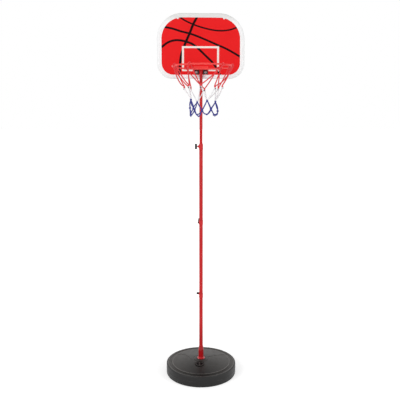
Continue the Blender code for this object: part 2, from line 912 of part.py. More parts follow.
back_plate = box(
    "back_plate",
    (-PLATE_WIDTH / 2.0, back_plate_front, bolt_z - BACK_PLATE_HEIGHT / 2.0),
    (PLATE_WIDTH / 2.0, back_plate_back, bolt_z + BACK_PLATE_HEIGHT / 2.0),
    STAND,
)
bolt_holes(back_plate, back_plate_front, back_plate_back)
finish(back_plate, STEEL)


# Board. The card slides between the frame's lip and the ribs behind it.
frame_bottom = ring_z - FRAME_BELOW_RING
frame_top = frame_bottom + FRAME_HEIGHT
window_bottom = frame_bottom + BORDER_BOTTOM
window_top = frame_top - BORDER_TOP
window_width = FRAME_WIDTH - 2.0 * BORDER_SIDE
frame_r_top = WINDOW_R_TOP + BORDER_TOP
frame_r_bottom = WINDOW_R_BOTTOM + BORDER_BOTTOM


def window_outline(grow, steps=8):
    return rounded_outline(
        window_width + 2.0 * grow,
        window_bottom - grow,
        window_top + grow,
        WINDOW_R_BOTTOM + grow,
        WINDOW_R_TOP + grow,
        steps,
    )


def frame_outline(shrink, steps=8):
    return rounded_outline(
        FRAME_WIDTH - 2.0 * shrink,
        frame_bottom + shrink,
        frame_top - shrink,
        frame_r_bottom - shrink,
        frame_r_top - shrink,
        steps,
    )


frame = slab("board_frame", frame_outline(0.0), frame_front, frame_back, STAND)
soften(frame, FRAME_EDGE)
card_middle = (card_front + card_back) / 2.0
window = slab("frame_window", window_outline(0.0), frame_front - PAST, card_middle)
for side_name, side in (("left", -1.0), ("right", 1.0)):
    tab = box(
        "frame_tab_" + side_name,
        (side * TAB_X - TAB_WIDTH / 2.0, frame_front - 2.0 * PAST, window_top - TAB_DROP),
        (side * TAB_X + TAB_WIDTH / 2.0, card_middle + PAST, window_top + BORDER_TOP / 2.0),
    )
    boolean(window, tab)
boolean(frame, window)
boolean(frame, slab("frame_card_slot", window_outline(CARD_MARGIN + GAP), card_front - GAP, web_front))


def keep_ribs(cutter):
    """Leave the stiffening ribs standing where a cutter hollows the frame."""
    behind = frame_back + 2.0 * PAST
    for number, share in enumerate(UPRIGHT_RIB_SHARES):
        middle = share * window_width
        low = (middle - RIB_THICK / 2.0, web_front - PAST, frame_bottom - BORDER_TOP)
        high = (middle + RIB_THICK / 2.0, behind, frame_top + BORDER_TOP)
        boolean(cutter, box("%s_rib_up_%d" % (cutter.name, number), low, high))
    for number, share in enumerate(LEVEL_RIB_SHARES):
        middle = window_bottom + (window_top - window_bottom) * share
        low = (-FRAME_WIDTH, web_front - PAST, middle - RIB_THICK / 2.0)
        high = (FRAME_WIDTH, behind, middle + RIB_THICK / 2.0)
        boolean(cutter, box("%s_rib_across_%d" % (cutter.name, number), low, high))


# Hollows behind the card, between the ribs.
hollows = slab("frame_hollows", window_outline(-RIB_THICK), card_middle, frame_back + PAST)
pad_half = PLATE_WIDTH / 2.0 + PAD_MARGIN
pad_top = bolt_z + BACK_PLATE_HEIGHT / 2.0 + PAD_MARGIN
boolean(
    hollows,
    box(
        "frame_pad",
        (-pad_half, web_front - PAST, frame_bottom - BORDER_TOP),
        (pad_half, frame_back + 2.0 * PAST, pad_top),
    ),
)
keep_ribs(hollows)
boolean(frame, hollows)

# Hollow border, open at the back, with stiffening ribs across it.
channel = slab("frame_channel", frame_outline(BORDER_WALL), web_front, frame_back + PAST)
inner_wall = CARD_MARGIN + GAP + RIB_THICK
boolean(
    channel,
    slab("frame_channel_inner", window_outline(inner_wall), web_front - PAST, frame_back + 2.0 * PAST),
)
keep_ribs(channel)
boolean(frame, channel)
bolt_holes(frame, frame_front, frame_back)
finish(frame, WHITE_FRAME)

card = slab("print_card", window_outline(CARD_MARGIN), card_front, card_back, STAND)
bolt_holes(card, card_front, card_back)
finish(card, PRINT_RED)


# Net.
class Station:
    """Point of a net row: radius, height and angle about the ring's axis."""

    def __init__(self, radius, height, angle):
        self.radius = radius
        self.height = height
        self.angle = math.radians(angle)

    def at(self, tangent=0.0, outward=0.0, up=0.0):
        turn = Vector((math.cos(self.angle), math.sin(self.angle), 0.0))
        side = Vector((-math.sin(self.angle), math.cos(self.angle), 0.0))
        middle = Vector((0.0, ring_y, self.height + up))
        return middle + turn * (self.radius + outward) + side * tangent


def strand(start, end, sag=STRAND_SAG):
    """Two points of a slack cord between start and end."""
    drop = Vector((0.0, 0.0, sag))
    return [start.lerp(end, 1.0 / 3.0) - drop, start.lerp(end, 2.0 / 3.0) - drop]


def bend(station, up):
    """Turn of a cord where two rows meet; up is 1 under a knot, -1 over it."""
    return [
        station.at(-BEND, 0.0, -up * BEND),
        station.at(0.0, 0.0, 0.0),
        station.at(BEND, 0.0, -up * BEND),
    ]


def zigzag(top_radius, top_z, top_angle, low_radius, low_z, low_angle):
    """Closed row of cord that runs down and up once for each mesh."""
    step = 360.0 / NET_MESHES
    route = []
    for mesh_number in range(NET_MESHES):
        top = Station(top_radius, top_z, top_angle + step * mesh_number)
        low = Station(low_radius, low_z, low_angle + step * mesh_number)
        following = Station(top_radius, top_z, top_angle + step * (mesh_number + 1))
        top_bend = bend(top, 1.0)
        low_bend = bend(low, -1.0)
        route += top_bend + strand(top_bend[-1], low_bend[0])
        route += low_bend + strand(low_bend[-1], bend(following, 1.0)[0])
    return route


def ring_row(low_radius, low_z, low_angle, top_angle):
    """First row: each upper turn passes over the ring, from inside to out."""
    step = 360.0 / NET_MESHES
    wrap = RING_TUBE_R + CORD_R + GAP
    route = []
    turns = []
    for mesh_number in range(NET_MESHES):
        slide = TURN_SLIDES[mesh_number]
        over = Station(RING_R, ring_z, top_angle + step * mesh_number + slide)
        loop = []
        for number, angle in enumerate((-28.0, 12.0, 52.0, 90.0, 122.0, 152.0)):
            turn = math.radians(angle)
            loop.append(
                over.at(
                    BEND * (number / 2.5 - 1.0),
                    wrap * math.cos(turn) / math.cos(math.radians(18.0)),
                    wrap * math.sin(turn) / math.cos(math.radians(18.0)),
                )
            )
        turns.append(loop)
    for mesh_number in range(NET_MESHES):
        low = Station(low_radius, low_z, low_angle + step * mesh_number)
        low_bend = bend(low, -1.0)
        following = turns[(mesh_number + 1) % NET_MESHES]
        down, up = RED_SAGS[mesh_number]
        route += turns[mesh_number] + strand(turns[mesh_number][-1], low_bend[0], down)
        route += low_bend + strand(low_bend[-1], following[0], up)
    return route


half_step = 180.0 / NET_MESHES
apart = CORD_R + GAP / 2.0
knot_1 = ring_z - NET_DROP1
knot_2 = knot_1 - NET_DROP2
knot_3 = knot_2 - NET_DROP3
net_end = knot_3 - NET_DROP4 + CORD_R
rows = (
    ("net_red", CORD_RED, ring_row(NET_R1, knot_1 + apart, 2.0 * half_step + NET_TURN, half_step)),
    (
        "net_white",
        CORD_WHITE,
        zigzag(NET_R1, knot_1 - apart, NET_TURN, NET_R2, knot_2 + apart, half_step),
    ),
    (
        "net_blue_upper",
        CORD_BLUE,
        zigzag(NET_R2, knot_2 - apart, half_step, NET_R3, knot_3 + apart, 2.0 * half_step),
    ),
    (
        "net_blue_lower",
        CORD_BLUE,
        zigzag(NET_R3, knot_3 - apart, 0.0, NET_R4, net_end, half_step),
    ),
)
for name, material, route in rows:
    finish(cord(name, route, CORD_R), material)
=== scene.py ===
"""Looks of the adjustable basketball stand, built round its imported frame.

Sizes are in metres. Places are read from the frame's own boxes where they can
be. Each section makes the pieces that one part of the stand shows.
"""

import math
import random

import bmesh
import bpy
from mathutils import Matrix, Vector


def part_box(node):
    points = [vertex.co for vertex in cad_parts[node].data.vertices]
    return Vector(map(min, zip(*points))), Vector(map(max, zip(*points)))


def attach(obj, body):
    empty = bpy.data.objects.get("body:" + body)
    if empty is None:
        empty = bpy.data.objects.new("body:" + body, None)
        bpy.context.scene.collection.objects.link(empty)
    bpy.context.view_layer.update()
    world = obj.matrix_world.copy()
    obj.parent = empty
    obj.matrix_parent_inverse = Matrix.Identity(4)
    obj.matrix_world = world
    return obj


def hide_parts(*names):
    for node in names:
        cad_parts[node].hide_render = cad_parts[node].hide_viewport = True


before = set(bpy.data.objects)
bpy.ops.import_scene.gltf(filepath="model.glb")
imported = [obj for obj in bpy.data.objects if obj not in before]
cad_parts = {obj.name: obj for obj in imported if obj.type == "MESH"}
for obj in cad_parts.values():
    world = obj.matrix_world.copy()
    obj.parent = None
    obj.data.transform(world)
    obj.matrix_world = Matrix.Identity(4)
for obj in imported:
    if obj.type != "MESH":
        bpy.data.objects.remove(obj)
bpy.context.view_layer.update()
RANDOM = random.Random(11)


# ---------------------------------------------------------------- materials
def shade(value):
    """Colour input from 0-255 screen values or a grey level; sockets pass."""
    if isinstance(value, float):
        return (value, value, value, 1.0)
    if not isinstance(value, tuple):
        return value
    shares = [level / 255.0 for level in value]
    linear = [s / 12.92 if s <= 0.04045 else ((s + 0.055) / 1.055) ** 2.4 for s in shares]
    return (*linear, 1.0)


def new_node(tree, kind, *inputs, **settings):
    """New node. Each input is a label with a value to set or a socket to link."""
    made = tree.nodes.new(kind)
    for label, value in settings.items():
        setattr(made, label, value)
    for label, value in inputs:
        if isinstance(value, bpy.types.NodeSocket):
            tree.links.new(value, made.inputs[label])
        else:
            made.inputs[label].default_value = value
    return made


class Surface:
    """Node tree of one procedural material."""

    def __init__(self, name, roughness, **shader_values):
        self.material = bpy.data.materials.new(name)
        self.material.use_nodes = True
        self.tree = self.material.node_tree
        self.shader = self.tree.nodes["Principled BSDF"]
        self.shader.inputs["Roughness"].default_value = roughness
        for label, value in shader_values.items():
            self.shader.inputs[label.replace("_", " ")].default_value = value
        coordinates = self.tree.nodes.new("ShaderNodeTexCoord").outputs
        self.place, self.along = coordinates["Object"], coordinates["UV"]

    def node(self, kind, output, *inputs, **settings):
        return new_node(self.tree, kind, *inputs, **settings).outputs[output]

    def stretched(self, scale, source=None, shift=(0.0, 0.0, 0.0)):
        """Coordinates scaled by themselves, so that a pattern runs one way."""
        source = ("Vector", source or self.place)
        return self.node("ShaderNodeMapping", 0, source, ("Scale", scale), ("Location", shift))

    def noise(self, scale, detail=3.0, at=None, distortion=0.0):
        place = ("Vector", at or self.place)
        grain = (("Scale", scale), ("Detail", detail), ("Distortion", distortion))
        return self.node("ShaderNodeTexNoise", 0, place, *grain)

    def cells(self, scale, output="Distance"):
        return self.node("ShaderNodeTexVoronoi", output, ("Vector", self.place), ("Scale", scale))

    def waves(self, scale, kind, axis, at=None, distortion=0.0):
        settings = {"wave_type": kind, kind.lower() + "_direction": axis}
        place = ("Vector", at or self.place)
        size = (("Scale", scale), ("Distortion", distortion))
        return self.node("ShaderNodeTexWave", 1, place, *size, **settings)

    def length(self, scale, shift=(0.0, 0.0, 0.0)):
        """Distance from the origin once the coordinates are scaled and shifted."""
        place = self.stretched(scale, None, shift)
        return self.node("ShaderNodeVectorMath", "Value", (0, place), operation="LENGTH")

    def above(self, height, soft):
        """0 below a height and nearly 1 above it, over a soft edge."""
        scale = 0.5 / height
        level = self.length((0.0, 0.0, scale))
        return self.ramp(level, (0.5 - soft * scale, 0.0), (0.5 + soft * scale, 0.9))

    def ramp(self, factor, *stops):
        """Colours, or grey levels, at positions along a factor."""
        made = new_node(self.tree, "ShaderNodeValToRGB", ("Fac", factor))
        bar = made.color_ramp.elements
        while len(bar) < len(stops):
            bar.new(1.0)
        for element, (position, colour) in zip(bar, stops):
            element.position = position
            element.color = shade(colour)
        return made.outputs["Color"]

    def mix(self, factor, first, second, blend="MIX"):
        pair = (("Color1", shade(first)), ("Color2", shade(second)))
        return self.node("ShaderNodeMixRGB", "Color", ("Fac", factor), *pair, blend_type=blend)

    def broken(self, mask, scale, detail, *stops):
        """Mask with its strength broken up by noise."""
        return self.mix(1.0, mask, self.ramp(self.noise(scale, detail), *stops), "MULTIPLY")

    def bump(self, height, strength, distance, under=None):
        inputs = [("Height", height), ("Strength", strength), ("Distance", distance)]
        if under:
            inputs.append(("Normal", under))
        return self.node("ShaderNodeBump", 0, *inputs)

    def wear(self, colour, rough, normal):
        """Join the finished colour, roughness and normal to the shader."""
        for label, socket in (("Base Color", colour), ("Roughness", rough), ("Normal", normal)):
            self.tree.links.new(socket, self.shader.inputs[label])
        return self.material


def paint(name, colour, deep, pale, roughness, coat):
    """Sprayed paint on metal: orange peel, dust specks and faint pale streaks of wear."""
    made = Surface(name, roughness, Specular_IOR_Level=0.2, Coat_Weight=coat, Coat_Roughness=0.2)
    specks = made.ramp(made.cells(260.0), (0.02, 0.35), (0.07, 1.0))
    streaks = made.noise(170.0, 4.0, made.stretched((1.0, 1.0, 0.05)))
    tone = made.ramp(made.noise(9.0, 4.0), (0.30, deep), (0.62, colour))
    tone = made.mix(made.ramp(streaks, (0.60, 0.0), (0.74, 0.45)), tone, pale)
    tone = made.mix(0.35, tone, made.mix(specks, deep, tone))
    rough = made.ramp(made.noise(40.0, 5.0), (0.3, roughness - 0.06), (0.7, roughness + 0.10))
    normal = made.bump(made.noise(950.0, 2.0), 0.10, 0.0002)
    return made.wear(tone, rough, made.bump(specks, 0.06, 0.0002, normal))


def plastic(
    name, colour, deep, pale, roughness, grain=1500.0, relief=0.16, specular=0.5, painted_tone=None
):
    """Moulded plastic: fine grain, flow marks, scuffs, and, where given, a colour painted above a
    height: painted light on the cap's top, painted shade on the frame's top border.
    """
    made = Surface(name, roughness, Specular_IOR_Level=specular)
    flow = made.noise(22.0, 5.0, made.stretched((1.0, 1.0, 2.5)), 0.6)
    scuffs = made.noise(130.0, 6.0, made.stretched((1.0, 0.25, 1.0)))
    scuffs = made.ramp(scuffs, (0.58, 0.0), (0.72, 0.6))
    tone = made.mix(scuffs, made.ramp(flow, (0.32, deep), (0.66, colour)), pale)
    # Colour laid above a height: painted light on the cap's top, painted shade on the frame's top
    # border.
    if painted_tone:
        height, soft, painted_colour = painted_tone
        tone = made.mix(made.above(height, soft), tone, painted_colour)
    rough = made.ramp(scuffs, (0.0, roughness), (0.6, min(1.0, roughness + 0.18)))
    normal = made.bump(made.noise(grain, 3.0), relief, 0.0002)
    return made.wear(tone, rough, made.bump(flow, 0.05, 0.002, normal))


def tank_plastic():
    """Blow-moulded tank: turned marks about the pole, grain, dust and scratches, with painted
    highlight rings on the step and lip, painted shade on the side wall, and painted light that
    grows from the front of the top towards the back.

    Distances are measured at five times their size: `across` from the pole,
    and a distance for the painted light, from a spot near the front edge where the top is darkest.
    """
    made = Surface("tank_black", 0.46)
    across = made.length((5.0, 5.0, 0.0))
    # Painted light: the top is painted lighter the farther it lies from a spot near the front.
    painted_light_from_front = made.length((5.0, 5.0, 0.0), (0.0, 0.65, 0.0))
    # Painted shade: beyond the lip, the side wall is painted darker than the top.
    side = made.ramp(across, (0.722, 0.0), (0.735, 1.0))
    # Painted highlights: thin pale rings along the step and the lip crest of the top, broken up by
    # noise.
    rings = (0.612, 0.0), (0.619, 1.0), (0.626, 1.0), (0.632, 0.0)
    rings += (0.708, 0.0), (0.714, 1.0), (0.720, 1.0), (0.725, 0.0)
    edge_highlights = made.broken(made.ramp(across, *rings), 60.0, 5.0, (0.32, 0.45), (0.58, 1.0))
    flow = made.noise(16.0, 6.0, None, 1.2)
    dust = made.ramp(made.noise(55.0, 8.0), (0.50, 0.0), (0.78, 0.40))
    scratches = made.noise(90.0, 3.0, made.stretched((0.12, 2.2, 1.0)), 0.4)
    scratches = made.ramp(scratches, (0.66, 0.0), (0.74, 0.5))
    tone = made.ramp(flow, (0.28, (19, 17, 16)), (0.55, (25, 22, 21)), (0.80, (31, 28, 26)))
    # Tones laid over the plastic: painted light towards the back, dust, scratches, painted shade on
    # the side wall, and painted highlight rings.
    for mask, colour in (
        (made.ramp(painted_light_from_front, (0.15, 0.0), (1.15, 0.9)), (52, 48, 44)),
        (dust, (50, 46, 41)),
        (scratches, (62, 58, 54)),
        (side, (15, 14, 14)),
        (edge_highlights, (100, 96, 93)),
    ):
        tone = made.mix(mask, tone, colour)
    gloss = made.mix(side, made.ramp(painted_light_from_front, (0.05, 0.12), (1.00, 0.44)), 0.34)
    made.tree.links.new(gloss, made.shader.inputs["Specular IOR Level"])
    rough = made.ramp(dust, (0.0, 0.42), (0.40, 0.54))
    normal = made.bump(made.noise(1300.0, 3.0), 0.12, 0.0003)
    normal = made.bump(made.waves(170.0, "RINGS", "Z", None, 1.5), 0.05, 0.0004, normal)
    return made.wear(tone, rough, made.bump(flow, 0.10, 0.003, normal))


def collar_plastic():
    """Gloss red moulding, with a pale pink painted highlight on its flange's rim at the left and
    right.
    """
    made = Surface("collar_red", 0.30, Specular_IOR_Level=0.3)
    flow = made.noise(30.0, 5.0, made.stretched((1.0, 1.0, 2.5)), 0.6)
    # Painted highlight: pale pink on the flange's rim, kept to its left and right sides.
    flange_highlight = made.ramp(made.length((50.0, 50.0, 0.0)), (0.61, 0.0), (0.72, 1.0))
    flange_highlight = made.broken(flange_highlight, 420.0, 4.0, (0.30, 0.72), (0.60, 1.0))
    beside = made.ramp(made.length((50.0, 0.0, 0.0)), (0.40, 0.0), (0.60, 1.0))
    flange_highlight = made.mix(1.0, flange_highlight, beside, "MULTIPLY")
    tone = made.ramp(flow, (0.32, (160, 6, 14)), (0.66, (184, 12, 20)))
    tone = made.mix(flange_highlight, tone, (236, 118, 126))
    rough = made.ramp(flange_highlight, (0.0, 0.28), (1.0, 0.40))
    normal = made.bump(made.noise(1800.0, 3.0), 0.08, 0.0002)
    return made.wear(tone, rough, made.bump(flow, 0.05, 0.002, normal))


def metal(name, colour, deep, roughness):
    """Zinc-plated steel: spangle, fine scratches and dull spots."""
    made = Surface(name, roughness, Metallic=1.0)
    scratches = made.noise(700.0, 3.0, made.stretched((1.0, 8.0, 0.4)))
    tone = made.ramp(made.noise(160.0, 5.0), (0.3, deep), (0.65, colour))
    tone = made.mix(0.12, tone, made.cells(900.0, "Color"), "MULTIPLY")
    rough = made.ramp(scratches, (0.3, roughness - 0.08), (0.7, roughness + 0.16))
    normal = made.bump(scratches, 0.12, 0.0002)
    return made.wear(tone, rough, made.bump(made.noise(2200.0, 2.0), 0.06, 0.0001, normal))


def rubber(name, colour, pale):
    """Matt rubber with a pale bloom."""
    made = Surface(name, 0.78, Specular_IOR_Level=0.4)
    bloom = made.ramp(made.noise(240.0, 6.0), (0.42, colour), (0.75, pale))
    rough = made.ramp(made.noise(500.0, 4.0), (0.3, 0.68), (0.7, 0.9))
    return made.wear(bloom, rough, made.bump(made.noise(3200.0, 2.0), 0.2, 0.0002))


def ink(name, colour, deep, roughness=0.42, specular=0.12):
    """Printed film on the card: fine print grain under a thin gloss."""
    made = Surface(name, roughness, Specular_IOR_Level=specular)
    grain = made.noise(2600.0, 2.0)
    tone = made.ramp(made.noise(7.0, 3.0), (0.30, deep), (0.60, colour))
    tone = made.mix(0.10, tone, made.ramp(grain, (0.3, deep), (0.7, colour)))
    rough = made.ramp(made.noise(60.0, 5.0), (0.3, roughness - 0.05), (0.7, roughness + 0.08))
    normal = made.bump(made.noise(35.0, 3.0), 0.03, 0.001)
    return made.wear(tone, rough, made.bump(grain, 0.05, 0.0001, normal))


def fibre(name, colour, deep, pale):
    """Braided cord: crossing yarns along the cord, with loose fibre ends."""
    made = Surface(name, 0.82, Specular_IOR_Level=0.25, Sheen_Weight=0.25, Sheen_Roughness=0.5)
    one_way, other_way = (
        made.waves(0.5, "BANDS", "DIAGONAL", made.stretched((lean, 900.0, 0.0), made.along))
        for lean in (6.0, -6.0)
    )
    yarns = made.mix(1.0, one_way, other_way, "LIGHTEN")
    fuzz = made.noise(2400.0, 5.0)
    tone = made.ramp(yarns, (0.25, deep), (0.75, colour))
    tone = made.mix(made.ramp(fuzz, (0.52, 0.0), (0.75, 0.6)), tone, pale)
    tone = made.mix(made.ramp(made.noise(45.0, 3.0), (0.35, 0.35), (0.6, 0.0)), tone, deep)
    rough = made.ramp(fuzz, (0.3, 0.74), (0.7, 0.92))
    normal = made.bump(yarns, 0.35, 0.0004)
    return made.wear(tone, rough, made.bump(fuzz, 0.3, 0.0003, normal))


CAP_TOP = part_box("fill_cap")[1].z
BOARD_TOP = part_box("board_frame")[1].z
# Painted light: the fill cap's top faces are painted lighter than its pockets and sides.
CAP_PAINTED_LIGHT = (CAP_TOP - 0.0010, 0.0004, (68, 63, 62))
# Painted shade: the frame's top border is painted grey.
FRAME_PAINTED_SHADE = (BOARD_TOP - 0.0260, 0.0100, (228, 228, 226))

# Each finish: its tone, a deeper one, a paler one where it has one, and the
# rest of what its function takes.
RED_PAINT = paint("pole_paint", (202, 34, 36), (184, 24, 28), (216, 72, 72), 0.42, 0.05)
RING_PAINT = paint("ring_paint", (250, 72, 69), (240, 59, 58), (252, 116, 110), 0.38, 0.04)
SLEEVE_PAINT = paint("sleeve_paint", (208, 44, 48), (190, 32, 36), (226, 88, 90), 0.40, 0.05)
COLLAR_RED = collar_plastic()
TANK_BLACK = tank_plastic()
CAP_BLACK = plastic(
    "cap_moulding", (5, 4, 4), (3, 3, 3), (14, 13, 13), 0.50, specular=0.06, painted_tone=CAP_PAINTED_LIGHT
)
KNOB_BLACK = plastic("knob_moulding", (40, 36, 36), (28, 25, 26), (70, 66, 66), 0.44)
SEAL_RUBBER = rubber("seal_rubber", (26, 26, 27), (48, 48, 48))
ZINC = metal("zinc_plate", (206, 206, 208), (176, 176, 180), 0.30)
BOLT_ZINC = metal("bolt_zinc", (168, 162, 162), (138, 132, 132), 0.36)
FRAME_TONES = (251, 251, 251), (247, 247, 247), (238, 238, 237)
FRAME_WHITE = plastic("frame_moulding", *FRAME_TONES, 0.42, 1700.0, 0.06, 0.2, FRAME_PAINTED_SHADE)
CARD_TONES = (206, 200, 190), (194, 186, 174), (214, 208, 198)
CARD_BACK = plastic("card_board", *CARD_TONES, 0.72, 900.0, 0.2, 0.2)
PRINT_RED = ink("print_field", (237, 32, 34), (231, 27, 30))
PRINT_BLACK = ink("print_lines", (24, 3, 6), (15, 1, 3), 0.46, 0.08)
PRINT_WHITE = ink("print_target", (246, 236, 230), (240, 228, 221))
CORD_RED = fibre("net_cord_red", (240, 62, 68), (214, 43, 51), (248, 120, 122))
CORD_WHITE = fibre("net_cord_white", (252, 251, 252), (238, 237, 240), (254, 254, 254))
CORD_BLUE = fibre("net_cord_blue", (60, 65, 158), (36, 38, 120), (116, 118, 190))
CORD_TIE = fibre("net_tie_grey", (88, 84, 88), (56, 52, 56), (124, 120, 122))


# ------------------------------------------------------------- mesh building
FILLET_SHARE = 0.48  # most of a side that one fillet takes, so that two never meet
SHARPEST_CORNER = 0.05  # tangent of half its angle


def fillet(points, closed=False, steps=4):
    """Polyline of (x, y, radius) points with each corner rounded."""
    made = []
    count = len(points)
    for number, (x, y, radius) in enumerate(points):
        ends = not closed and number in (0, count - 1)
        if radius <= 0.0 or ends:
            made.append((x, y))
            continue
        corner = Vector((x, y))
        before = Vector(points[number - 1][:2]) - corner
        after = Vector(points[(number + 1) % count][:2]) - corner
        opening = before.angle(after, math.pi) / 2.0
        reach = radius / max(math.tan(opening), SHARPEST_CORNER)
        reach = min(reach, before.length * FILLET_SHARE, after.length * FILLET_SHARE)
        start = corner + before.normalized() * reach
        end = corner + after.normalized() * reach
        for step in range(steps + 1):
            share = step / steps
            point = start.lerp(corner, share).lerp(corner.lerp(end, share), share)
            made.append((point.x, point.y))
    return made


def rectangle(left, right, low, high, corner, steps=6):
    """Outline of a rectangle with round corners."""
    corners = ((right, low), (right, high), (left, high), (left, low))
    return fillet([(x, y, corner) for x, y in corners], True, steps)


def upright(depth, points):
    """Loop that stands at a depth, from (x, z) points."""
    return [Vector((x, depth, z)) for x, z in points]


def eased(start, end, ease=0.0004):
    """(place, inset) levels from one face to the other, with eased edges."""
    step = math.copysign(ease, end - start)
    return ((start, ease), (start + step, 0.0), (end - step, 0.0), (end, ease))


def loft(shape, loops, wrap=False, material=0):
    """Skin between closed loops of points; the ends are capped unless it wraps."""
    rings = [[shape.verts.new(point) for point in loop] for loop in loops]
    pairs = list(zip(rings, rings[1:]))
    if wrap:
        pairs.append((rings[-1], rings[0]))
    faces = []
    for first, second in pairs:
        for number, corner in enumerate(first):
            other = (number + 1) % len(first)
            faces.append(shape.faces.new((corner, first[other], second[other], second[number])))
    if not wrap:
        faces.append(shape.faces.new(list(reversed(rings[0]))))
        faces.append(shape.faces.new(rings[-1]))
    for face in faces:
        face.material_index = material
    return faces


def polar(radius, angle, height=0.0):
    return Vector((radius * math.cos(angle), radius * math.sin(angle), height))


def raised(height):
    return Vector((0.0, 0.0, height))


def lathe(shape, profile, sides=96, wrap=False, place=Matrix(), ripple=None):
    """Turn a profile of (radius, height) points, run up its outer side."""
    loops = []
    for radius, height in profile:
        loop = []
        for number in range(sides):
            angle = 2.0 * math.pi * number / sides
            reach = radius + (ripple(angle, radius, height) if ripple else 0.0)
            loop.append(place @ polar(reach, angle, height))
        loops.append(loop)
    loft(shape, loops, wrap)


def turned(outline, steps, sides=96, wrap=False, place=Matrix(), ripple=None):
    """New shape turned from (radius, height, rounding) points."""
    shape = bmesh.new()
    lathe(shape, fillet(outline, wrap, steps), sides, wrap, place, ripple)
    return shape


def block(shape, low, high, edge):
    """Box between two corners, with rounded upright and level edges."""
    half = [(high[i] - low[i]) / 2.0 for i in range(3)]
    middle = Vector([(high[i] + low[i]) / 2.0 for i in range(3)])
    loops = []
    levels = [(-half[2], edge), (-half[2] + edge * 0.3, edge * 0.3), (-half[2] + edge, 0.0)]
    for height, inset in levels + [(-up, inside) for up, inside in reversed(levels)]:
        wide, deep = half[0] - inset, half[1] - inset
        outline = rectangle(-wide, wide, -deep, deep, edge, 3)
        loops.append([Vector((x, y, height)) + middle for x, y in outline])
    loft(shape, loops)


def plate(shape, low, high, corner, levels, steps=6):
    """Upright plate between (x, z) corners, through (depth, inset) levels."""
    loops = []
    for depth, inset in levels:
        edges = (low[0] + inset, high[0] - inset, low[1] + inset, high[1] - inset)
        loops.append(upright(depth, rectangle(*edges, corner, steps)))
    loft(shape, loops)


def face_out(shape, faces):
    bmesh.ops.recalc_face_normals(shape, faces=faces)


def new_object(name, shape, materials=()):
    """Object in the scene from a shape, which is used up."""
    mesh = bpy.data.meshes.new(name)
    shape.to_mesh(mesh)
    shape.free()
    for material in materials:
        mesh.materials.append(material)
    made = bpy.data.objects.new(name, mesh)
    bpy.context.scene.collection.objects.link(made)
    return made


def tool(shape):
    """Object that cuts or joins another, and goes once it is used."""
    return new_object("tool", shape)


def carve(shape, *tools):
    """Cut or join (tool, operation) pairs to a shape, and return the result."""
    target = tool(shape)
    for cutter, operation in tools:
        modifier = target.modifiers.new("carve", "BOOLEAN")
        modifier.operation = operation
        modifier.solver = "EXACT"
        modifier.object = cutter
    graph = bpy.context.evaluated_depsgraph_get()
    graph.update()
    made = bmesh.new()
    made.from_mesh(target.evaluated_get(graph).to_mesh())
    for used in [target] + [cutter for cutter, _ in tools]:
        bpy.data.objects.remove(used, do_unlink=True)
    return made


def piece(name, shape, materials, body, nodes, angle=35.0):
    """Finished object: its mesh, materials, body, the nodes it stands for."""
    made = new_object(name, shape, materials)
    made.data.shade_smooth()
    made.data.set_sharp_from_angle(angle=math.radians(angle))
    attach(made, body)
    if nodes:
        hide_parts(*nodes)


def smooth_path(points, closed, spacing):
    """Catmull-Rom curve through points, sampled at about the given spacing."""
    count = len(points)
    made = []
    for number in range(count if closed else count - 1):
        near = [number + shift for shift in (-1, 0, 1, 2)]
        if closed:
            a, b, c, d = (points[place % count] for place in near)
        else:
            a, b, c, d = (points[min(max(place, 0), count - 1)] for place in near)
        steps = max(1, round((c - b).length / spacing))
        for step in range(steps):
            t = step / steps
            square = (2.0 * a - 5.0 * b + 4.0 * c - d) * t * t
            cube = (3.0 * b - a - 3.0 * c + d) * t**3
            made.append(0.5 * (2.0 * b + (c - a) * t + square + cube))
    if not closed:
        made.append(points[-1].copy())
    return made


def heading(path, number, closed=False):
    """Way from the point before to the point after one point of a path."""
    if closed:
        return path[(number + 1) % len(path)] - path[number - 1]
    return path[min(number + 1, len(path) - 1)] - path[max(number - 1, 0)]


def sweep(shape, path, closed, section, material=0, sides=12):
    """Carry a cross-section along a path. section(along, angle) gives a radius."""
    count = len(path)
    tangents = [heading(path, number, closed).normalized() for number in range(count)]
    side = tangents[0].orthogonal().normalized()
    frames = [side]
    for number in range(1, count):
        turn = tangents[number - 1].rotation_difference(tangents[number])
        side = (turn @ side).normalized()
        frames.append(side)
    twist = 0.0
    if closed:
        carried = tangents[-1].rotation_difference(tangents[0]) @ frames[-1]
        twist = math.atan2(carried.cross(frames[0]).dot(tangents[0]), carried.dot(frames[0]))
    layer = shape.loops.layers.uv.verify()
    loops = []
    lengths = []
    along = 0.0
    for number, point in enumerate(path):
        side = frames[number]
        up = tangents[number].cross(side)
        lean = twist * number / count
        loop = []
        for corner in range(sides):
            angle = 2.0 * math.pi * corner / sides
            reach = section(along, angle)
            across, over = math.cos(angle + lean) * reach, math.sin(angle + lean) * reach
            loop.append(point + side * across + up * over)
        loops.append(loop)
        lengths.append(along)
        along += (path[(number + 1) % count] - point).length
    faces = loft(shape, loops, closed, material)
    for band in range(count if closed else count - 1):
        ends = (lengths[band], along if band == count - 1 else lengths[band + 1])
        for corner in range(sides):
            shares = ((corner, 0), (corner + 1, 0), (corner + 1, 1), (corner, 1))
            for uv_loop, (across, end) in zip(faces[band * sides + corner].loops, shares):
                uv_loop[layer].uv = (across / sides, ends[end])


def wire(radius):
    """Section of a plain round wire."""
    return lambda along, angle: radius


# ------------------------------------------------------------------- camera
CAMERA_BACK = 2.3196
CAMERA_HEIGHT = 1.1251
CAMERA_TILT = 0.1064
CAMERA_YAW = 0.0466
FOCAL_PIXELS = 549.46
CENTRE_X = 201.0
CENTRE_Y = 173.31
IMAGE_SIDE = 400.0
SENSOR = 36.0

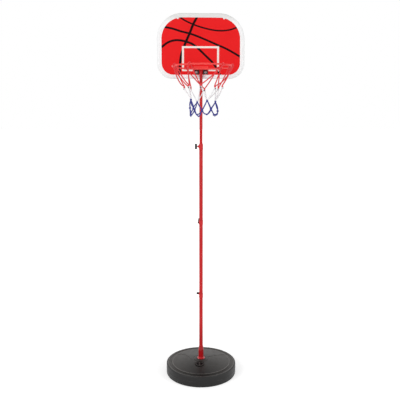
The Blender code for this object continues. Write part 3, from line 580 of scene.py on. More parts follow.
camera = bpy.data.objects.new("camera", bpy.data.cameras.new("camera"))
bpy.context.scene.collection.objects.link(camera)
camera.data.sensor_width = SENSOR
camera.data.lens = SENSOR * FOCAL_PIXELS / IMAGE_SIDE
camera.data.shift_x = (IMAGE_SIDE / 2.0 - CENTRE_X) / IMAGE_SIDE
camera.data.shift_y = (CENTRE_Y - IMAGE_SIDE / 2.0) / IMAGE_SIDE
camera.data.clip_start = 0.05
camera.data.clip_end = 100.0
ahead = Vector((math.sin(CAMERA_YAW), math.cos(CAMERA_YAW), 0.0))
camera.location = ahead * -CAMERA_BACK + Vector((0.0, 0.0, CAMERA_HEIGHT))
looking = ahead * math.cos(CAMERA_TILT) - Vector((0.0, 0.0, math.sin(CAMERA_TILT)))
camera.rotation_mode = "QUATERNION"
camera.rotation_quaternion = looking.to_track_quat("-Z", "Y")
bpy.context.scene.camera = camera
bpy.context.scene.view_settings.view_transform = "Standard"


# ------------------------------------------------------------ pole and tubes
GAP = 0.0003
CLEAR = 0.002  # how far a cutter reaches past the face that it opens
AXIS = 0.0005  # where a turned outline starts, beside its axis
TUBE_R = 0.0080
TUBE_WALL = 0.0006
TUBE_EDGE = 0.0002
THIN_R = 0.0064
SPIGOT_LENGTH = 0.034
SPIGOT_R = TUBE_R - TUBE_WALL - GAP
SCREW_DROP = 0.0075
SCREW_HOLE_R = 0.0033
# Sections of pole that hold a screw: label, body, way the screw points, and
# how far its knob is turned.
SECTIONS = (
    ("lower", "base", 110.0, 95.0),
    ("middle", "middle_section", 110.0, 10.0),
    ("upper", "upper_section", 180.0, 0.0),
)


def rotation(degrees, axis):
    return Matrix.Rotation(math.radians(degrees), 4, axis)


def screw_matrix(height, direction, roll=0.0):
    """A screw's own Z axis points out from the pole."""
    lean = rotation(direction, "Z") @ rotation(90.0, "Y")
    return Matrix.Translation((0.0, 0.0, height)) @ lean @ rotation(roll, "Z")


def rod(radius, start, end, place=Matrix(), sides=96):
    """Tool that is a round rod along Z."""
    return tool(turned([(radius, start, 0.0), (radius, end, 0.0)], 1, sides, False, place))


def tube_piece(label, body, direction=None):
    """Painted tube with rounded cut ends, and a drawn-in spigot if it has one."""
    low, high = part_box("pole_" + label)
    radius = THIN_R if label == "thin" else TUBE_R
    bore = radius - TUBE_WALL
    outer, inner = [(radius, low.z, TUBE_EDGE)], [(bore, low.z, TUBE_EDGE)]
    if label in ("middle", "upper"):
        shoulder = low.z + SPIGOT_LENGTH
        outer = [
            (SPIGOT_R, low.z, 0.0003),
            (SPIGOT_R, shoulder, 0.0002),
            (radius - 0.0002, shoulder, 0.0002),
            (radius, shoulder + 0.0009, 0.0006),
        ]
        inner = [
            (bore, shoulder + 0.0018, 0.0005),
            (SPIGOT_R - TUBE_WALL, shoulder + 0.0006, 0.0005),
            (SPIGOT_R - TUBE_WALL, low.z, TUBE_EDGE),
        ]
    top = [(radius, high.z, TUBE_EDGE), (bore, high.z, TUBE_EDGE)]
    shape = turned(outer + top + inner, 2, 64, True)
    if direction is not None:
        place = screw_matrix(high.z - SCREW_DROP, direction)
        shape = carve(shape, (rod(SCREW_HOLE_R, 0.0, TUBE_R + CLEAR, place, 32), "DIFFERENCE"))
    piece("tube_" + label, shape, [RED_PAINT], body, ["pole_" + label])


for label, body, direction, _ in SECTIONS:
    tube_piece(label, body, direction)
tube_piece("thin", "mast")


# ---------------------------------------------- screw sleeves, studs, knobs
SLEEVE_R = 0.0089
BEAD_R = SLEEVE_R + 0.0002
BESIDE_BEAD_R = SLEEVE_R - 0.0001
NECK_BORE_R = THIN_R + GAP
BOSS_TIP = 0.0141
STUD_R = 0.0030
STUD_START = 0.0078
STUD_END = 0.0222
PITCH = 0.001
KNOB_START = 0.0167
KNOB_END = 0.0260
KNOB_HALF = 0.0120
KNOB_WIDTH = 0.0095
KNOB_WAIST = 0.0080
KNOB_ROUND = 0.0015
GRIP_PITCH = 0.0011
GRIP_DEPTH = 0.00016
GRIP_FROM, GRIP_TO = 0.22, 0.96
# Boss that takes the screw, by its distance from the pole's axis.
FLARE = [
    (AXIS, 0.0032, 0.0),
    (0.0079, 0.0032, 0.0),
    (0.0076, 0.0072, 0.0),
    (0.0066, 0.0086, 0.0008),
    (0.0053, 0.0103, 0.0014),
    (0.0043, 0.0122, 0.0012),
    (0.0041, 0.0131, 0.0003),
    (0.0045, 0.0134, 0.0002),
    (0.0045, BOSS_TIP, 0.0004),
    (AXIS, BOSS_TIP, 0.0),
]


def sleeve_piece(label, body, tube_top, direction):
    """Clamping sleeve with rolled edges and a flared threaded boss."""
    low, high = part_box("screw_sleeve_" + label)
    place = screw_matrix(tube_top - SCREW_DROP, direction)
    outline = [
        (AXIS, low.z, 0.0),
        (BESIDE_BEAD_R, low.z, 0.0004),
        (BEAD_R, low.z + 0.0007, 0.0005),
        (BEAD_R, low.z + 0.0019, 0.0005),
        (BESIDE_BEAD_R, low.z + 0.0026, 0.0005),
    ]
    cuts = [
        (rod(TUBE_R + GAP, low.z - CLEAR, tube_top + GAP), "DIFFERENCE"),
        (rod(STUD_R + GAP, 0.0, BOSS_TIP + CLEAR, place, 32), "DIFFERENCE"),
    ]
    if high.z > tube_top:
        cuts.append((rod(NECK_BORE_R, low.z - CLEAR, high.z + CLEAR), "DIFFERENCE"))
        outline += [
            (SLEEVE_R, tube_top - 0.0004, 0.0008),
            (NECK_BORE_R + 0.0012, high.z - 0.0006, 0.0006),
            (NECK_BORE_R + 0.0006, high.z, 0.0004),
        ]
    else:
        outline += [
            (BESIDE_BEAD_R, high.z - 0.0022, 0.0005),
            (SLEEVE_R + 0.0001, high.z - 0.0016, 0.0005),
            (SLEEVE_R + 0.0001, high.z, 0.0004),
        ]
    outline.append((AXIS, high.z, 0.0))
    boss = tool(turned(FLARE, 4, 64, False, place))
    shape = carve(turned(outline, 3), (boss, "UNION"), *cuts)
    node = "screw_sleeve_" + label
    piece("clamp_sleeve_" + label, shape, [SLEEVE_PAINT], body, [node])


def thread(shape, radius, start, end, depth, place):
    """Rod with a helical thread; its ends are plain and slightly tapered."""
    steps = round((end - start) / PITCH * 6.0)
    profile = [(radius - depth * 1.6, start)]
    profile += [(radius, start + (end - start) * step / steps) for step in range(1, steps)]
    profile.append((radius - depth * 1.2, end))

    def cut(angle, _, height):
        phase = height / PITCH - angle / (2.0 * math.pi)
        ends = min(1.0, (height - start) / PITCH, (end - height) / PITCH)
        return -depth * (0.5 + 0.5 * math.cos(2.0 * math.pi * phase)) * max(0.0, ends)

    lathe(shape, profile, 32, False, place, cut)


def knob_outline(inset):
    """Bar with round ends, a waist, and grip ribs along its sides."""
    end_r = KNOB_WIDTH / 2.0
    waist_r = KNOB_WAIST / 2.0
    straight = KNOB_HALF - end_r
    points = []
    for side in (1.0, -1.0):
        for step in range(13):
            end = polar(end_r - inset, math.radians(-90.0 + 15.0 * step))
            points.append((side * (straight + end.x), side * end.y))
        for step in range(1, 60):
            along = straight * (1.0 - step / 30.0)
            share = abs(along) / straight
            width = waist_r + (end_r - waist_r) * share**2.0
            if GRIP_FROM < share < GRIP_TO:
                width -= GRIP_DEPTH * (0.5 + 0.5 * math.cos(along / GRIP_PITCH * 2.0 * math.pi))
            points.append((side * along, side * (width - inset)))
    return points


def knob_piece(label, tube_top, direction, roll):
    """Threaded stud, and the bar knob that turns it."""
    place = screw_matrix(tube_top - SCREW_DROP, direction, roll)
    shape = bmesh.new()
    thread(shape, STUD_R, STUD_START, STUD_END, 0.0002, place)
    node = "stud_" + label
    piece("threaded_" + node, shape, [ZINC], label + "_screw", [node])
    rise = []
    for step in range(6):
        turn = math.radians(18.0 * step)
        height = KNOB_START + KNOB_ROUND * (1.0 - math.cos(turn))
        rise.append((height, KNOB_ROUND * (1.0 - math.sin(turn))))
    fall = [(KNOB_END + KNOB_START - height, inset) for height, inset in reversed(rise)]
    dish = [(KNOB_END, 0.0020), (KNOB_END - 0.0005, 0.0024), (KNOB_END - 0.0005, 0.0030)]
    shape = bmesh.new()
    loops = []
    for height, inset in rise + fall + dish:
        loops.append([place @ Vector((x, y, height)) for x, y in knob_outline(inset)])
    loft(shape, loops)
    hub = [(0.0030, KNOB_END - 0.0008), (0.0026, KNOB_END - 0.0002), (0.0022, KNOB_END)]
    lathe(shape, hub, 32, False, place)
    under = KNOB_START - 0.0004
    skirt = [(0.0036, KNOB_START + 0.001, 0.0), (0.0036, under, 0.0003), (0.0033, under, 0.0)]
    lathe(shape, fillet(skirt)[::-1], 32, False, place)
    node = "knob_" + label
    piece("bar_" + node, shape, [KNOB_BLACK], label + "_knob", [node])


for label, body, direction, roll in SECTIONS:
    tube_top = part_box("pole_" + label)[1].z
    sleeve_piece(label, body, tube_top, direction)
    knob_piece(label, tube_top, direction, roll)


# ---------------------------------------------------------------- base tank
BASE_R = 0.151
SIDE_R = BASE_R - 0.0001
BAND_R = BASE_R + 0.0003
FOOT_Z = 0.0010
DOME_R = 0.0325
DOME_Z = 0.0577
GROOVE_Z = DOME_Z - 0.0010
HUB_Z = 0.0607
HUB_R = 0.0200
STEP_R = 0.1275
STEP_DROP = 0.0016
LIP_INNER = 0.1375
LIP_INNER_Z = 0.0434
LIP_GROOVE_Z = LIP_INNER_Z - 0.0004
EDGE_Z = 0.0446
WELL_R = 0.0113
WELL_FLOOR = 0.0135
WALL = 0.003
CAP_SPOT = Vector((-0.0085, -0.0485, 0.0))
NECK_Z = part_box("cap_seal")[0].z - GAP
NECK_BORE = 0.0145
RECESS_R = 0.0206


def on_top(radius, rounding, lift=0.0):
    """Point of the tank's top between the dome and the lip."""
    share = (radius - DOME_R) / (LIP_INNER - DOME_R)
    height = DOME_Z + (LIP_INNER_Z + STEP_DROP - DOME_Z) * share
    return (radius, (height - STEP_DROP if radius > STEP_R else height) + lift, rounding)


def on_hub(radius, rounding, lift=0.0):
    """Point of the shallow cone round the collar's flange."""
    height = HUB_Z + (DOME_Z - HUB_Z) * (radius - HUB_R) / (DOME_R - HUB_R)
    return (radius, height + lift, rounding)


def ridge(shape, points, half_width, rise):
    """Moulded line laid along the tank's top."""
    path = smooth_path([Vector((x, y, 0.0)) for x, y in points], False, 0.0012)
    arch = ((-1.0, 0.1), (-0.6, 0.8), (0.0, 1.0), (0.6, 0.8), (1.0, 0.1))
    loops = []
    for number, spot in enumerate(path):
        ahead = heading(path, number)
        across = Vector((ahead.y, -ahead.x, 0.0)).normalized()
        ends = min(number, len(path) - 1 - number) / 5.0
        lift = rise * min(1.0, 0.15 + ends)
        section = [(-1.0, -0.002)] + [(share, lift * up) for share, up in arch] + [(1.0, -0.002)]
        ground = on_top(math.hypot(spot.x, spot.y), 0.0)[1]
        foot = Vector((spot.x, spot.y, ground))
        loops.append([foot + raised(up) + across * (share * half_width) for share, up in section])
    face_out(shape, loft(shape, loops))


outline = [
    (AXIS, FOOT_Z, 0.0),
    (0.0600, FOOT_Z, 0.0004),
    (0.0612, 0.0, 0.0004),
    (0.0660, 0.0, 0.0004),
    (0.0672, FOOT_Z, 0.0004),
    (0.1260, FOOT_Z, 0.0006),
    (0.1275, 0.0, 0.0006),
    (BASE_R - 0.0003, 0.0, 0.0042),
    (SIDE_R, 0.0212, 0.0003),
    (BAND_R, 0.0219, 0.0003),
    (BAND_R, 0.0229, 0.0003),
    (SIDE_R, 0.0236, 0.0003),
    (BASE_R - 0.0003, EDGE_Z + 0.0004, 0.0064),
    (BASE_R - 0.0070, EDGE_Z + 0.0006, 0.0010),
    (LIP_INNER + 0.0016, EDGE_Z - 0.0008, 0.0006),
    (LIP_INNER + 0.0006, LIP_GROOVE_Z, 0.0004),
    (LIP_INNER - 0.0008, LIP_GROOVE_Z, 0.0004),
    on_top(STEP_R + 0.0045, 0.0008),
    on_top(STEP_R + 0.0026, 0.0006, -0.0005),
    (STEP_R + 0.0002, on_top(STEP_R, 0.0)[1] + 0.0006, 0.0006),
    on_top(STEP_R - 0.0012, 0.0006, 0.0007),
    on_top(STEP_R - 0.0052, 0.0012),
    on_top(DOME_R + 0.0024, 0.0006),
    (DOME_R + 0.0010, GROOVE_Z, 0.0004),
    (DOME_R - 0.0006, GROOVE_Z, 0.0004),
    on_hub(DOME_R - 0.0020, 0.0006),
    on_hub(0.0262, 0.0006),
    on_hub(0.0250, 0.0004, -0.0008),
    on_hub(0.0236, 0.0004, -0.0008),
    on_hub(0.0224, 0.0006),
    (HUB_R, HUB_Z, 0.0030),
    (WELL_R, HUB_Z, 0.0006),
    (WELL_R, WELL_FLOOR, 0.0006),
    (AXIS, WELL_FLOOR, 0.0),
]
inside = [
    (AXIS, WELL_FLOOR - WALL, 0.0),
    (WELL_R + WALL, WELL_FLOOR - WALL, 0.001),
    (WELL_R + WALL, HUB_Z - WALL, 0.001),
    (HUB_R, HUB_Z - WALL, 0.001),
    (DOME_R, DOME_Z - WALL, 0.001),
    on_top(STEP_R, 0.0, -WALL),
    on_top(STEP_R + 0.0025, 0.0, -WALL),
    (LIP_INNER, LIP_INNER_Z - WALL, 0.001),
    (BASE_R - WALL, LIP_INNER_Z - WALL, 0.0055),
    (BASE_R - WALL, WALL, 0.0015),
    (AXIS, WALL, 0.0),
]
tank, hollow = turned(outline, 4, 128), turned(inside, 3, 128)
for shape in (tank, hollow):
    face_out(shape, shape.faces)
spot = Matrix.Translation(CAP_SPOT)
hollow = carve(hollow, (rod(RECESS_R + WALL, NECK_Z - WALL, HUB_Z, spot), "DIFFERENCE"))
tank = carve(
    tank,
    (tool(hollow), "DIFFERENCE"),
    (rod(RECESS_R, NECK_Z, HUB_Z + CLEAR, spot), "DIFFERENCE"),
    (rod(NECK_BORE, NECK_Z - 0.006, NECK_Z + CLEAR, spot), "DIFFERENCE"),
)
ridge(tank, [(0.0014, -0.0790), (0.0014, -0.1080), (0.0014, -0.1335)], 0.0012, 0.0009)
ridge(tank, [(0.0310, 0.0179), (0.0745, 0.0430), (0.1190, 0.0687)], 0.0012, 0.0009)
curved = [(-0.0395, -0.0080), (-0.0440, 0.0030), (-0.0490, 0.0180), (-0.0560, 0.0350)]
curved += [(-0.0650, 0.0500), (-0.0770, 0.0605), (-0.0920, 0.0680), (-0.1080, 0.0730)]
ridge(tank, curved, 0.0013, 0.0010)
piece("tank_shell", tank, [TANK_BLACK], "base", ["base_tank"], 28.0)


# ------------------------------------------------------ fill cap and collar
CAP_R = 0.0188
CAP_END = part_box("fill_cap")[0].z
CAP_UNDER = CAP_TOP - 0.0045
CAP_FACE = CAP_TOP - 0.0004
PLUG_R = 0.0140
PLUG_BORE = 0.0116
POCKET_FLOOR = CAP_TOP - 0.0026
GRIP_HALF = 0.0025
RIM_GROOVES = 48.0
RIM_GROOVE_DEPTH = 0.0004
CAP_PITCH = 0.003
CAP_THREAD_R = 0.00035


def knurl(angle, radius, height):
    """Grooves round the cap's rim."""
    on_rim = radius > CAP_R - 0.0004 and CAP_UNDER + 0.0006 < height < CAP_TOP - 0.0010
    depth = RIM_GROOVE_DEPTH if on_rim else 0.0
    return -depth * (0.5 + 0.5 * math.cos(RIM_GROOVES * angle))


outline = [
    (AXIS, CAP_UNDER, 0.0),
    (PLUG_BORE, CAP_UNDER, 0.0006),
    (PLUG_BORE, CAP_END, 0.0004),
    (PLUG_R, CAP_END, 0.0006),
    (PLUG_R, CAP_UNDER, 0.0003),
    (CAP_R, CAP_UNDER, 0.0004),
    (CAP_R, CAP_UNDER + 0.0009, 0.0),
    (CAP_R, CAP_TOP - 0.0016, 0.0),
    (CAP_R - 0.0004, CAP_TOP, 0.0012),
    (CAP_R - 0.0032, CAP_TOP, 0.0003),
    (CAP_R - 0.0036, CAP_FACE, 0.0002),
    (AXIS, CAP_FACE, 0.0),
]
cap = turned(outline, 3, 192, False, spot, knurl)
pockets = bmesh.new()
for side in (-1.0, 1.0):
    loops = []
    for height, inset in (
        (POCKET_FLOOR, 0.0007),
        (POCKET_FLOOR + 0.0006, 0.0002),
        (CAP_TOP + 0.001, 0.0),
    ):
        reach = CAP_R - 0.0045 - inset
        limit = math.acos((GRIP_HALF + inset) / reach)
        loop = []
        for step in range(33):
            point = polar(side * reach, -limit + 2.0 * limit * step / 32.0, height)
            loop.append(spot @ point)
        loops.append(loop)
    face_out(pockets, loft(pockets, loops))
cap = carve(cap, (tool(pockets), "DIFFERENCE"))
helix = []
for step in range(64):
    turn = step * 0.2
    height = CAP_END + 0.0012 + CAP_PITCH * turn / (2.0 * math.pi)
    helix.append(CAP_SPOT + polar(PLUG_R, turn, height))
sweep(cap, helix, False, wire(CAP_THREAD_R))
piece("screw_cap", cap, [CAP_BLACK], "cap", ["fill_cap"], 30.0)

collar_low, collar_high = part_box("pole_collar")
FLANGE_Z = HUB_Z + GAP
outline = [
    (0.0110, collar_low.z, 0.0006),
    (0.0110, FLANGE_Z, 0.0),
    (0.0160, FLANGE_Z, 0.0004),
    (0.0160, FLANGE_Z + 0.0028, 0.0008),
    (0.0134, FLANGE_Z + 0.0031, 0.0012),
    (0.0115, FLANGE_Z + 0.0050, 0.0024),
    (0.0110, FLANGE_Z + 0.0095, 0.0040),
    (0.0110, collar_high.z - 0.0168, 0.0010),
    (0.0113, collar_high.z - 0.0162, 0.0004),
    (0.0113, collar_high.z - 0.0150, 0.0004),
    (0.0108, collar_high.z - 0.0145, 0.0006),
    (0.0094, collar_high.z, 0.0005),
    (0.0083, collar_high.z, 0.0003),
    (0.0083, collar_low.z, 0.0003),
]
collar = turned(outline, 5, 96, True)
piece("flanged_collar", collar, [COLLAR_RED], "base", ["pole_collar"], 50.0)


# --------------------------------------------------------- ring and bracket
ring_low, ring_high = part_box("rim_ring")
RING_Y = (ring_low.y + ring_high.y) / 2.0
RING_Z = (ring_low.z + ring_high.z) / 2.0
RING_TUBE_R = (ring_high.z - ring_low.z) / 2.0
RING_R = (ring_high.x - ring_low.x) / 2.0 - RING_TUBE_R
RING_CENTRE = Vector((0.0, RING_Y, RING_Z))
bracket_low, bracket_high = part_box("rim_bracket")
PLATE_HALF = (bracket_high.x - bracket_low.x) / 2.0
PLATE_FRONT = 0.0068
PLATE_BACK = bracket_high.y
PLATE_CORNER = 0.0030
PLATE_BELOW = 0.0210
PLATE_ABOVE = 0.0130
TONGUE_HALF = 0.026
TONGUE_LOW = RING_Z - 0.0015
TONGUE_HIGH = RING_Z + 0.0015
PEG_R = 0.0055
PEG_END = TONGUE_LOW - 0.030
PIN_AXIS = 0.0003  # as AXIS, for the smaller turned shapes
WELD_R = 0.0011
WELD_SWELL = 0.14
WELD_RIPPLE = 0.06
WELD_STEPS = 40


def around_ring(angle, radius, up=0.0):
    """Point about the ring's axis; 90 degrees is the side of the board."""
    return RING_CENTRE + polar(radius, math.radians(angle), up)


def straight(start, end, steps):
    """Points evenly spread from one point to another."""
    return [start.lerp(end, step / steps) for step in range(steps + 1)]


def weld(shape, path, length):
    """Weld bead, which swells once in each given length."""

    def section(along, angle):
        swell = WELD_SWELL * math.sin(along / length * 2.0 * math.pi)
        return WELD_R * (1.0 + swell + WELD_RIPPLE * math.sin(3.0 * angle + along * 900.0))

    sweep(shape, path, False, section)


ring = bmesh.new()
circle = [around_ring(2.0 * step, RING_R) for step in range(180)]
sweep(ring, circle, True, wire(RING_TUBE_R))
butt_weld = [around_ring(84.0 + 0.9 * step, RING_R) for step in range(3)]
sweep(ring, butt_weld, False, wire(RING_TUBE_R * 1.03))
piece("hoop", ring, [RING_PAINT], "mast", ["rim_ring"], 60.0)

bracket = bmesh.new()
corners = (-PLATE_HALF, RING_Z - PLATE_BELOW), (PLATE_HALF, RING_Z + PLATE_ABOVE)
plate(bracket, *corners, PLATE_CORNER, eased(PLATE_BACK, PLATE_FRONT))
loops = []
hold = RING_R + RING_TUBE_R + 0.0001
for height, inset in eased(TONGUE_LOW, TONGUE_HIGH):
    half = TONGUE_HALF - inset
    loop = [Vector((end, PLATE_FRONT + 0.001, height)) for end in (half, -half)]
    for step in range(25):
        across = -half + 2.0 * half * step / 24.0
        loop.append(Vector((across, RING_Y + math.sqrt((hold + inset) ** 2 - across**2), height)))
    loops.append(loop)
face_out(bracket, loft(bracket, loops))
peg = [(PIN_AXIS, PEG_END, 0.0), (PEG_R, PEG_END, 0.0008), (PEG_R, RING_Z, 0.0)]
lathe(bracket, fillet(peg + [(PIN_AXIS, RING_Z, 0.0)]), 48)
reach = math.degrees(math.asin(TONGUE_HALF / hold)) - 0.6
for up in (-0.0014, 0.0014):
    bead = []
    for step in range(WELD_STEPS + 1):
        angle = 90.0 - reach + 2.0 * reach * step / WELD_STEPS
        bead.append(around_ring(angle, hold - 0.0002, up))
    weld(bracket, bead, 0.0026)
reach = TONGUE_HALF - CLEAR
for height in (TONGUE_LOW - 0.0002, TONGUE_HIGH + 0.0002):
    ends = [Vector((end, PLATE_FRONT - 0.0001, height)) for end in (-reach, reach)]
    weld(bracket, straight(*ends, WELD_STEPS), 0.0028)
piece("welded_bracket", bracket, [RING_PAINT], "mast", ["rim_bracket"], 40.0)


# ------------------------------------------------- bolts, washers, nuts, plate
BOLT_R = 0.0030
HEAD_R = 0.0056
HEAD_HEIGHT = 0.0038
NUT_BORE = 0.0033
NUT_CHAMFER = 0.93


def washer_piece(node):
    """Square black pad with a rounded, dished face."""
    low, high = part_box(node)
    levels = (
        (high.y, 0.0004),
        (high.y - 0.0004, 0.0),
        (low.y + 0.0006, 0.0),
        (low.y + 0.0001, 0.0003),
        (low.y, 0.0008),
        (low.y, 0.0016),
        (low.y + 0.0005, 0.0021),
    )
    shape = bmesh.new()
    plate(shape, (low.x, low.z), (high.x, high.z), 0.0016, levels, 4)
    piece(node.replace("square", "pad"), shape, [KNOB_BLACK], "mast", [node])
    return (low.x + high.x) / 2.0, (low.z + high.z) / 2.0


def bolt_piece(node, across, up):
    """Pan-headed bolt with a cross recess and a threaded shank."""
    low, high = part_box(node)
    facing = Matrix.Translation((across, 0.0, up)) @ rotation(90.0, "X")
    front, back = -low.y, -low.y - HEAD_HEIGHT
    outline = [
        (PIN_AXIS, back - 0.004, 0.0),
        (BOLT_R, back - 0.004, 0.0),
        (BOLT_R, back, 0.0),
        (HEAD_R, back, 0.0003),
        (HEAD_R * 0.98, back + 0.0014, 0.0012),
        (HEAD_R * 0.72, back + 0.0031, 0.0020),
        (HEAD_R * 0.30, front, 0.0010),
        (PIN_AXIS, front, 0.0),
    ]
    cross = bmesh.new()
    loops = []
    for depth, arm, half in (
        (low.y + 0.0024, 0.0013, 0.0004),
        (low.y - 0.001, 0.0034, 0.0007),
    ):
        quarter = [(arm, -half), (arm, half), (half, half)]
        corners = []
        for _ in range(4):
            corners += quarter
            quarter = [(-z, x) for x, z in quarter]
        loops.append(upright(depth, [(across + x, up + z) for x, z in corners]))
    face_out(cross, loft(cross, loops))
    shape = carve(turned(outline, 5, 64, False, facing), (tool(cross), "DIFFERENCE"))
    thread(shape, BOLT_R, -high.y, back - 0.002, 0.0003, facing)
    piece("pan_" + node, shape, [BOLT_ZINC], "mast", [node], 30.0)


def nut_piece(node, across, up):
    """Six-sided nut with both faces chamfered."""
    low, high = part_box(node)
    corner = (high.x - low.x) / 2.0
    flat = corner * math.cos(math.radians(30.0))
    chamfer = corner * NUT_CHAMFER
    loops = []
    for share, limit in (
        (0.0, NUT_BORE),
        (0.0, chamfer),
        (0.10, 1.0),
        (0.90, 1.0),
        (1.0, chamfer),
        (1.0, NUT_BORE),
    ):
        points = []
        for degrees in range(0, 360, 5):
            side = flat / math.cos(math.radians((degrees + 30.0) % 60.0 - 30.0))
            point = polar(min(side, limit), math.radians(degrees))
            points.append((across + point.x, up + point.y))
        loops.append(upright(high.y - (high.y - low.y) * share, points))
    shape = bmesh.new()
    loft(shape, loops, True)
    piece("hex_" + node, shape, [ZINC], "mast", [node], 25.0)


for side in ("left", "right"):
    middle = washer_piece("square_washer_" + side)
    bolt_piece("bolt_" + side, *middle)
    nut_piece("nut_" + side, *middle)

low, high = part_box("back_plate")
BOLT_Z = (low.z + high.z) / 2.0
back_plate = bmesh.new()
plate(back_plate, (low.x, low.z), (high.x, high.z), 0.003, eased(high.y, low.y))
ends = [Vector((end, high.y - 0.0003, BOLT_Z)) for end in (low.x + 0.006, high.x - 0.006)]
sweep(back_plate, straight(*ends, 48), False, wire(0.0012))
piece("pressed_back_plate", back_plate, [ZINC], "mast", ["back_plate"])


# -------------------------------------------------------------------- board
board_low, board_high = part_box("board_frame")
card_low, card_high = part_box("print_card")
FRAME_FRONT, FRAME_BACK = board_low.y, board_high.y
BORDER_SIDE, BORDER_TOP, BORDER_BOTTOM = 0.0192, 0.0187, 0.0160
R_TOP, R_BOTTOM = 0.0870, 0.0480
ROUND_DEPTH = 0.0075
LIP = 0.0017
WEB_FRONT = card_high.y + GAP
WINDOW_HALF = board_high.x - BORDER_SIDE
WINDOW_LOW = board_low.z + BORDER_BOTTOM
WINDOW_HIGH = board_high.z - BORDER_TOP
CARD_MARGIN = 0.0040
RIB_HALF = 0.0012
RIB_EDGE = 0.0005
RIB_SHORT = 0.0020
TAB_X = 0.0960
TAB_HALF = 0.0035
BOSS_HALF = 0.035


def rounded_outline(half, bottom, top, r_bottom, r_top):
    """Rounded rectangle about x = 0, as (x, z) points, counter-clockwise."""
    points = []
    for across, up, radius, begin in (
        (half - r_bottom, bottom + r_bottom, r_bottom, -90.0),
        (half - r_top, top - r_top, r_top, 0.0),
        (-half + r_top, top - r_top, r_top, 90.0),
        (-half + r_bottom, bottom + r_bottom, r_bottom, 180.0),
    ):
        for step in range(29):
            point = polar(radius, math.radians(begin + 90.0 * step / 28))
            points.append((across + point.x, up + point.y))
    return points


def window_outline(grow):
    """Outline of the window, or one that lies a little outside it."""
    low, high = WINDOW_LOW - grow, WINDOW_HIGH + grow
    return rounded_outline(WINDOW_HALF + grow, low, high, R_BOTTOM + grow, R_TOP + grow)


outside = rounded_outline(
    board_high.x, board_low.z, board_high.z, R_BOTTOM + BORDER_BOTTOM, R_TOP + BORDER_TOP
)
window = window_outline(0.0)

# The border's section: share of the way from the outside to the window, and
# depth. It runs from the back over the rounded front, then behind the lip.
border = [(0.0, FRAME_BACK), (0.0, FRAME_FRONT + ROUND_DEPTH)]
for step in range(1, 11):
    turn = math.radians(9.0 * step)
    depth = FRAME_FRONT + ROUND_DEPTH * (1.0 - math.sin(turn))
    border.append((0.52 * (1.0 - math.cos(turn)), depth))
for share, depth in (
    (0.62, 0.0002),
    (0.72, 0.0005),
    (0.77, 0.0008),
    (0.80, 0.0008),
    (0.83, 0.0005),
    (0.88, 0.0003),
    (0.94, 0.0004),
    (0.98, 0.0007),
    (1.0, 0.0011),
    (1.0, LIP),
    (0.767, LIP),
):
    border.append((share, FRAME_FRONT + depth))
border += [
    (0.767, WEB_FRONT),
    (1.13, WEB_FRONT),
    (1.13, FRAME_BACK - 0.0003),
    (1.11, FRAME_BACK),
    (0.66, FRAME_BACK),
    (0.638, FRAME_BACK - 0.0003),
    (0.638, WEB_FRONT),
    (0.195, WEB_FRONT),
    (0.195, FRAME_BACK - 0.0003),
    (0.175, FRAME_BACK),
    (0.02, FRAME_BACK),
]
board = bmesh.new()
loops = []
for share, depth in border:
    pairs = zip(outside, window)
    points = [(ax + (bx - ax) * share, az + (bz - az) * share) for (ax, az), (bx, bz) in pairs]
    loops.append(upright(depth, points))
loft(board, loops, True)


def board_block(left, right, bottom, top, front=WEB_FRONT, back=FRAME_BACK - 0.0002, edge=RIB_EDGE):
    """Rib, boss or tab that is moulded with the frame."""
    block(board, (left, front, bottom), (right, back, top), edge)


LEVEL = WINDOW_LOW + 0.1
for share in (-0.3, -0.1, 0.1, 0.3):
    middle = share * 2.0 * WINDOW_HALF
    near = [z for x, z in outside if abs(x - middle) < 0.006]
    top = min((z for z in near if z > LEVEL), default=board_high.z) - RIB_SHORT
    bottom = max((z for z in near if z < LEVEL), default=board_low.z) + RIB_SHORT
    board_block(middle - RIB_HALF, middle + RIB_HALF, bottom, top)
for share in (0.38, 0.70):
    middle = WINDOW_LOW + (WINDOW_HIGH - WINDOW_LOW) * share
    near = (x for x, z in outside if x > 0.0 and abs(z - middle) < 0.012)
    half = min(near, default=board_high.x) - RIB_SHORT
    board_block(-half, half, middle - RIB_HALF, middle + RIB_HALF)
edges = (-BOSS_HALF, BOSS_HALF, WINDOW_LOW - 0.006, BOLT_Z + 0.014)
board_block(*edges, WEB_FRONT, FRAME_BACK, 0.0008)
for side in (-TAB_X, TAB_X):
    edges = (side - TAB_HALF, side + TAB_HALF, WINDOW_HIGH - 0.0065, WINDOW_HIGH + 0.002)
    board_block(*edges, FRAME_FRONT + 0.0003, FRAME_FRONT + LIP, 0.0006)
piece("board_moulding", board, [FRAME_WHITE], "mast", ["board_frame"], 32.0)


# ------------------------------------------------------- card and its print
CARD_FRONT = card_low.y
INK_DEEP = CARD_FRONT + 0.0003
INK_FACE = CARD_FRONT - 0.0001
# Seam lines of the print: width, then points across and up in millimetres
# from the middle of the window's top edge.
SEAMS = (
    (
        0.0099,
        ((-14, 6), (-17, 0), (-32, -28), (-47, -65), (-62, -98), (-68, -113), (-80, -146))
        + ((-86, -179), (-90, -232), (-91, -242)),
    ),
    (
        0.0062,
        ((-95, 8), (-87, 1), (-65, -13), (-32, -28), (1, -39), (40, -48.6), (67, -52.3))
        + ((94, -52.7), (122, -48.6), (146, -40.4), (168, -31)),
    ),
    (
        0.0080,
        ((-164, -37), (-149, -39.5), (-117, -46), (-81.5, -56.8), (-47, -65), (-15, -76))
        + ((26, -92.5), (67, -110), (109, -128), (161, -157), (176, -166)),
    ),
    (
        0.0086,
        ((-176, -128), (-161.6, -120), (-142, -105), (-120, -95.4), (-93, -92.5), (-62, -98))
        + ((-32, -110), (-5, -132), (24, -159.4), (47, -181.5), (63, -203), (77, -228), (84, -243)),
    ),
)
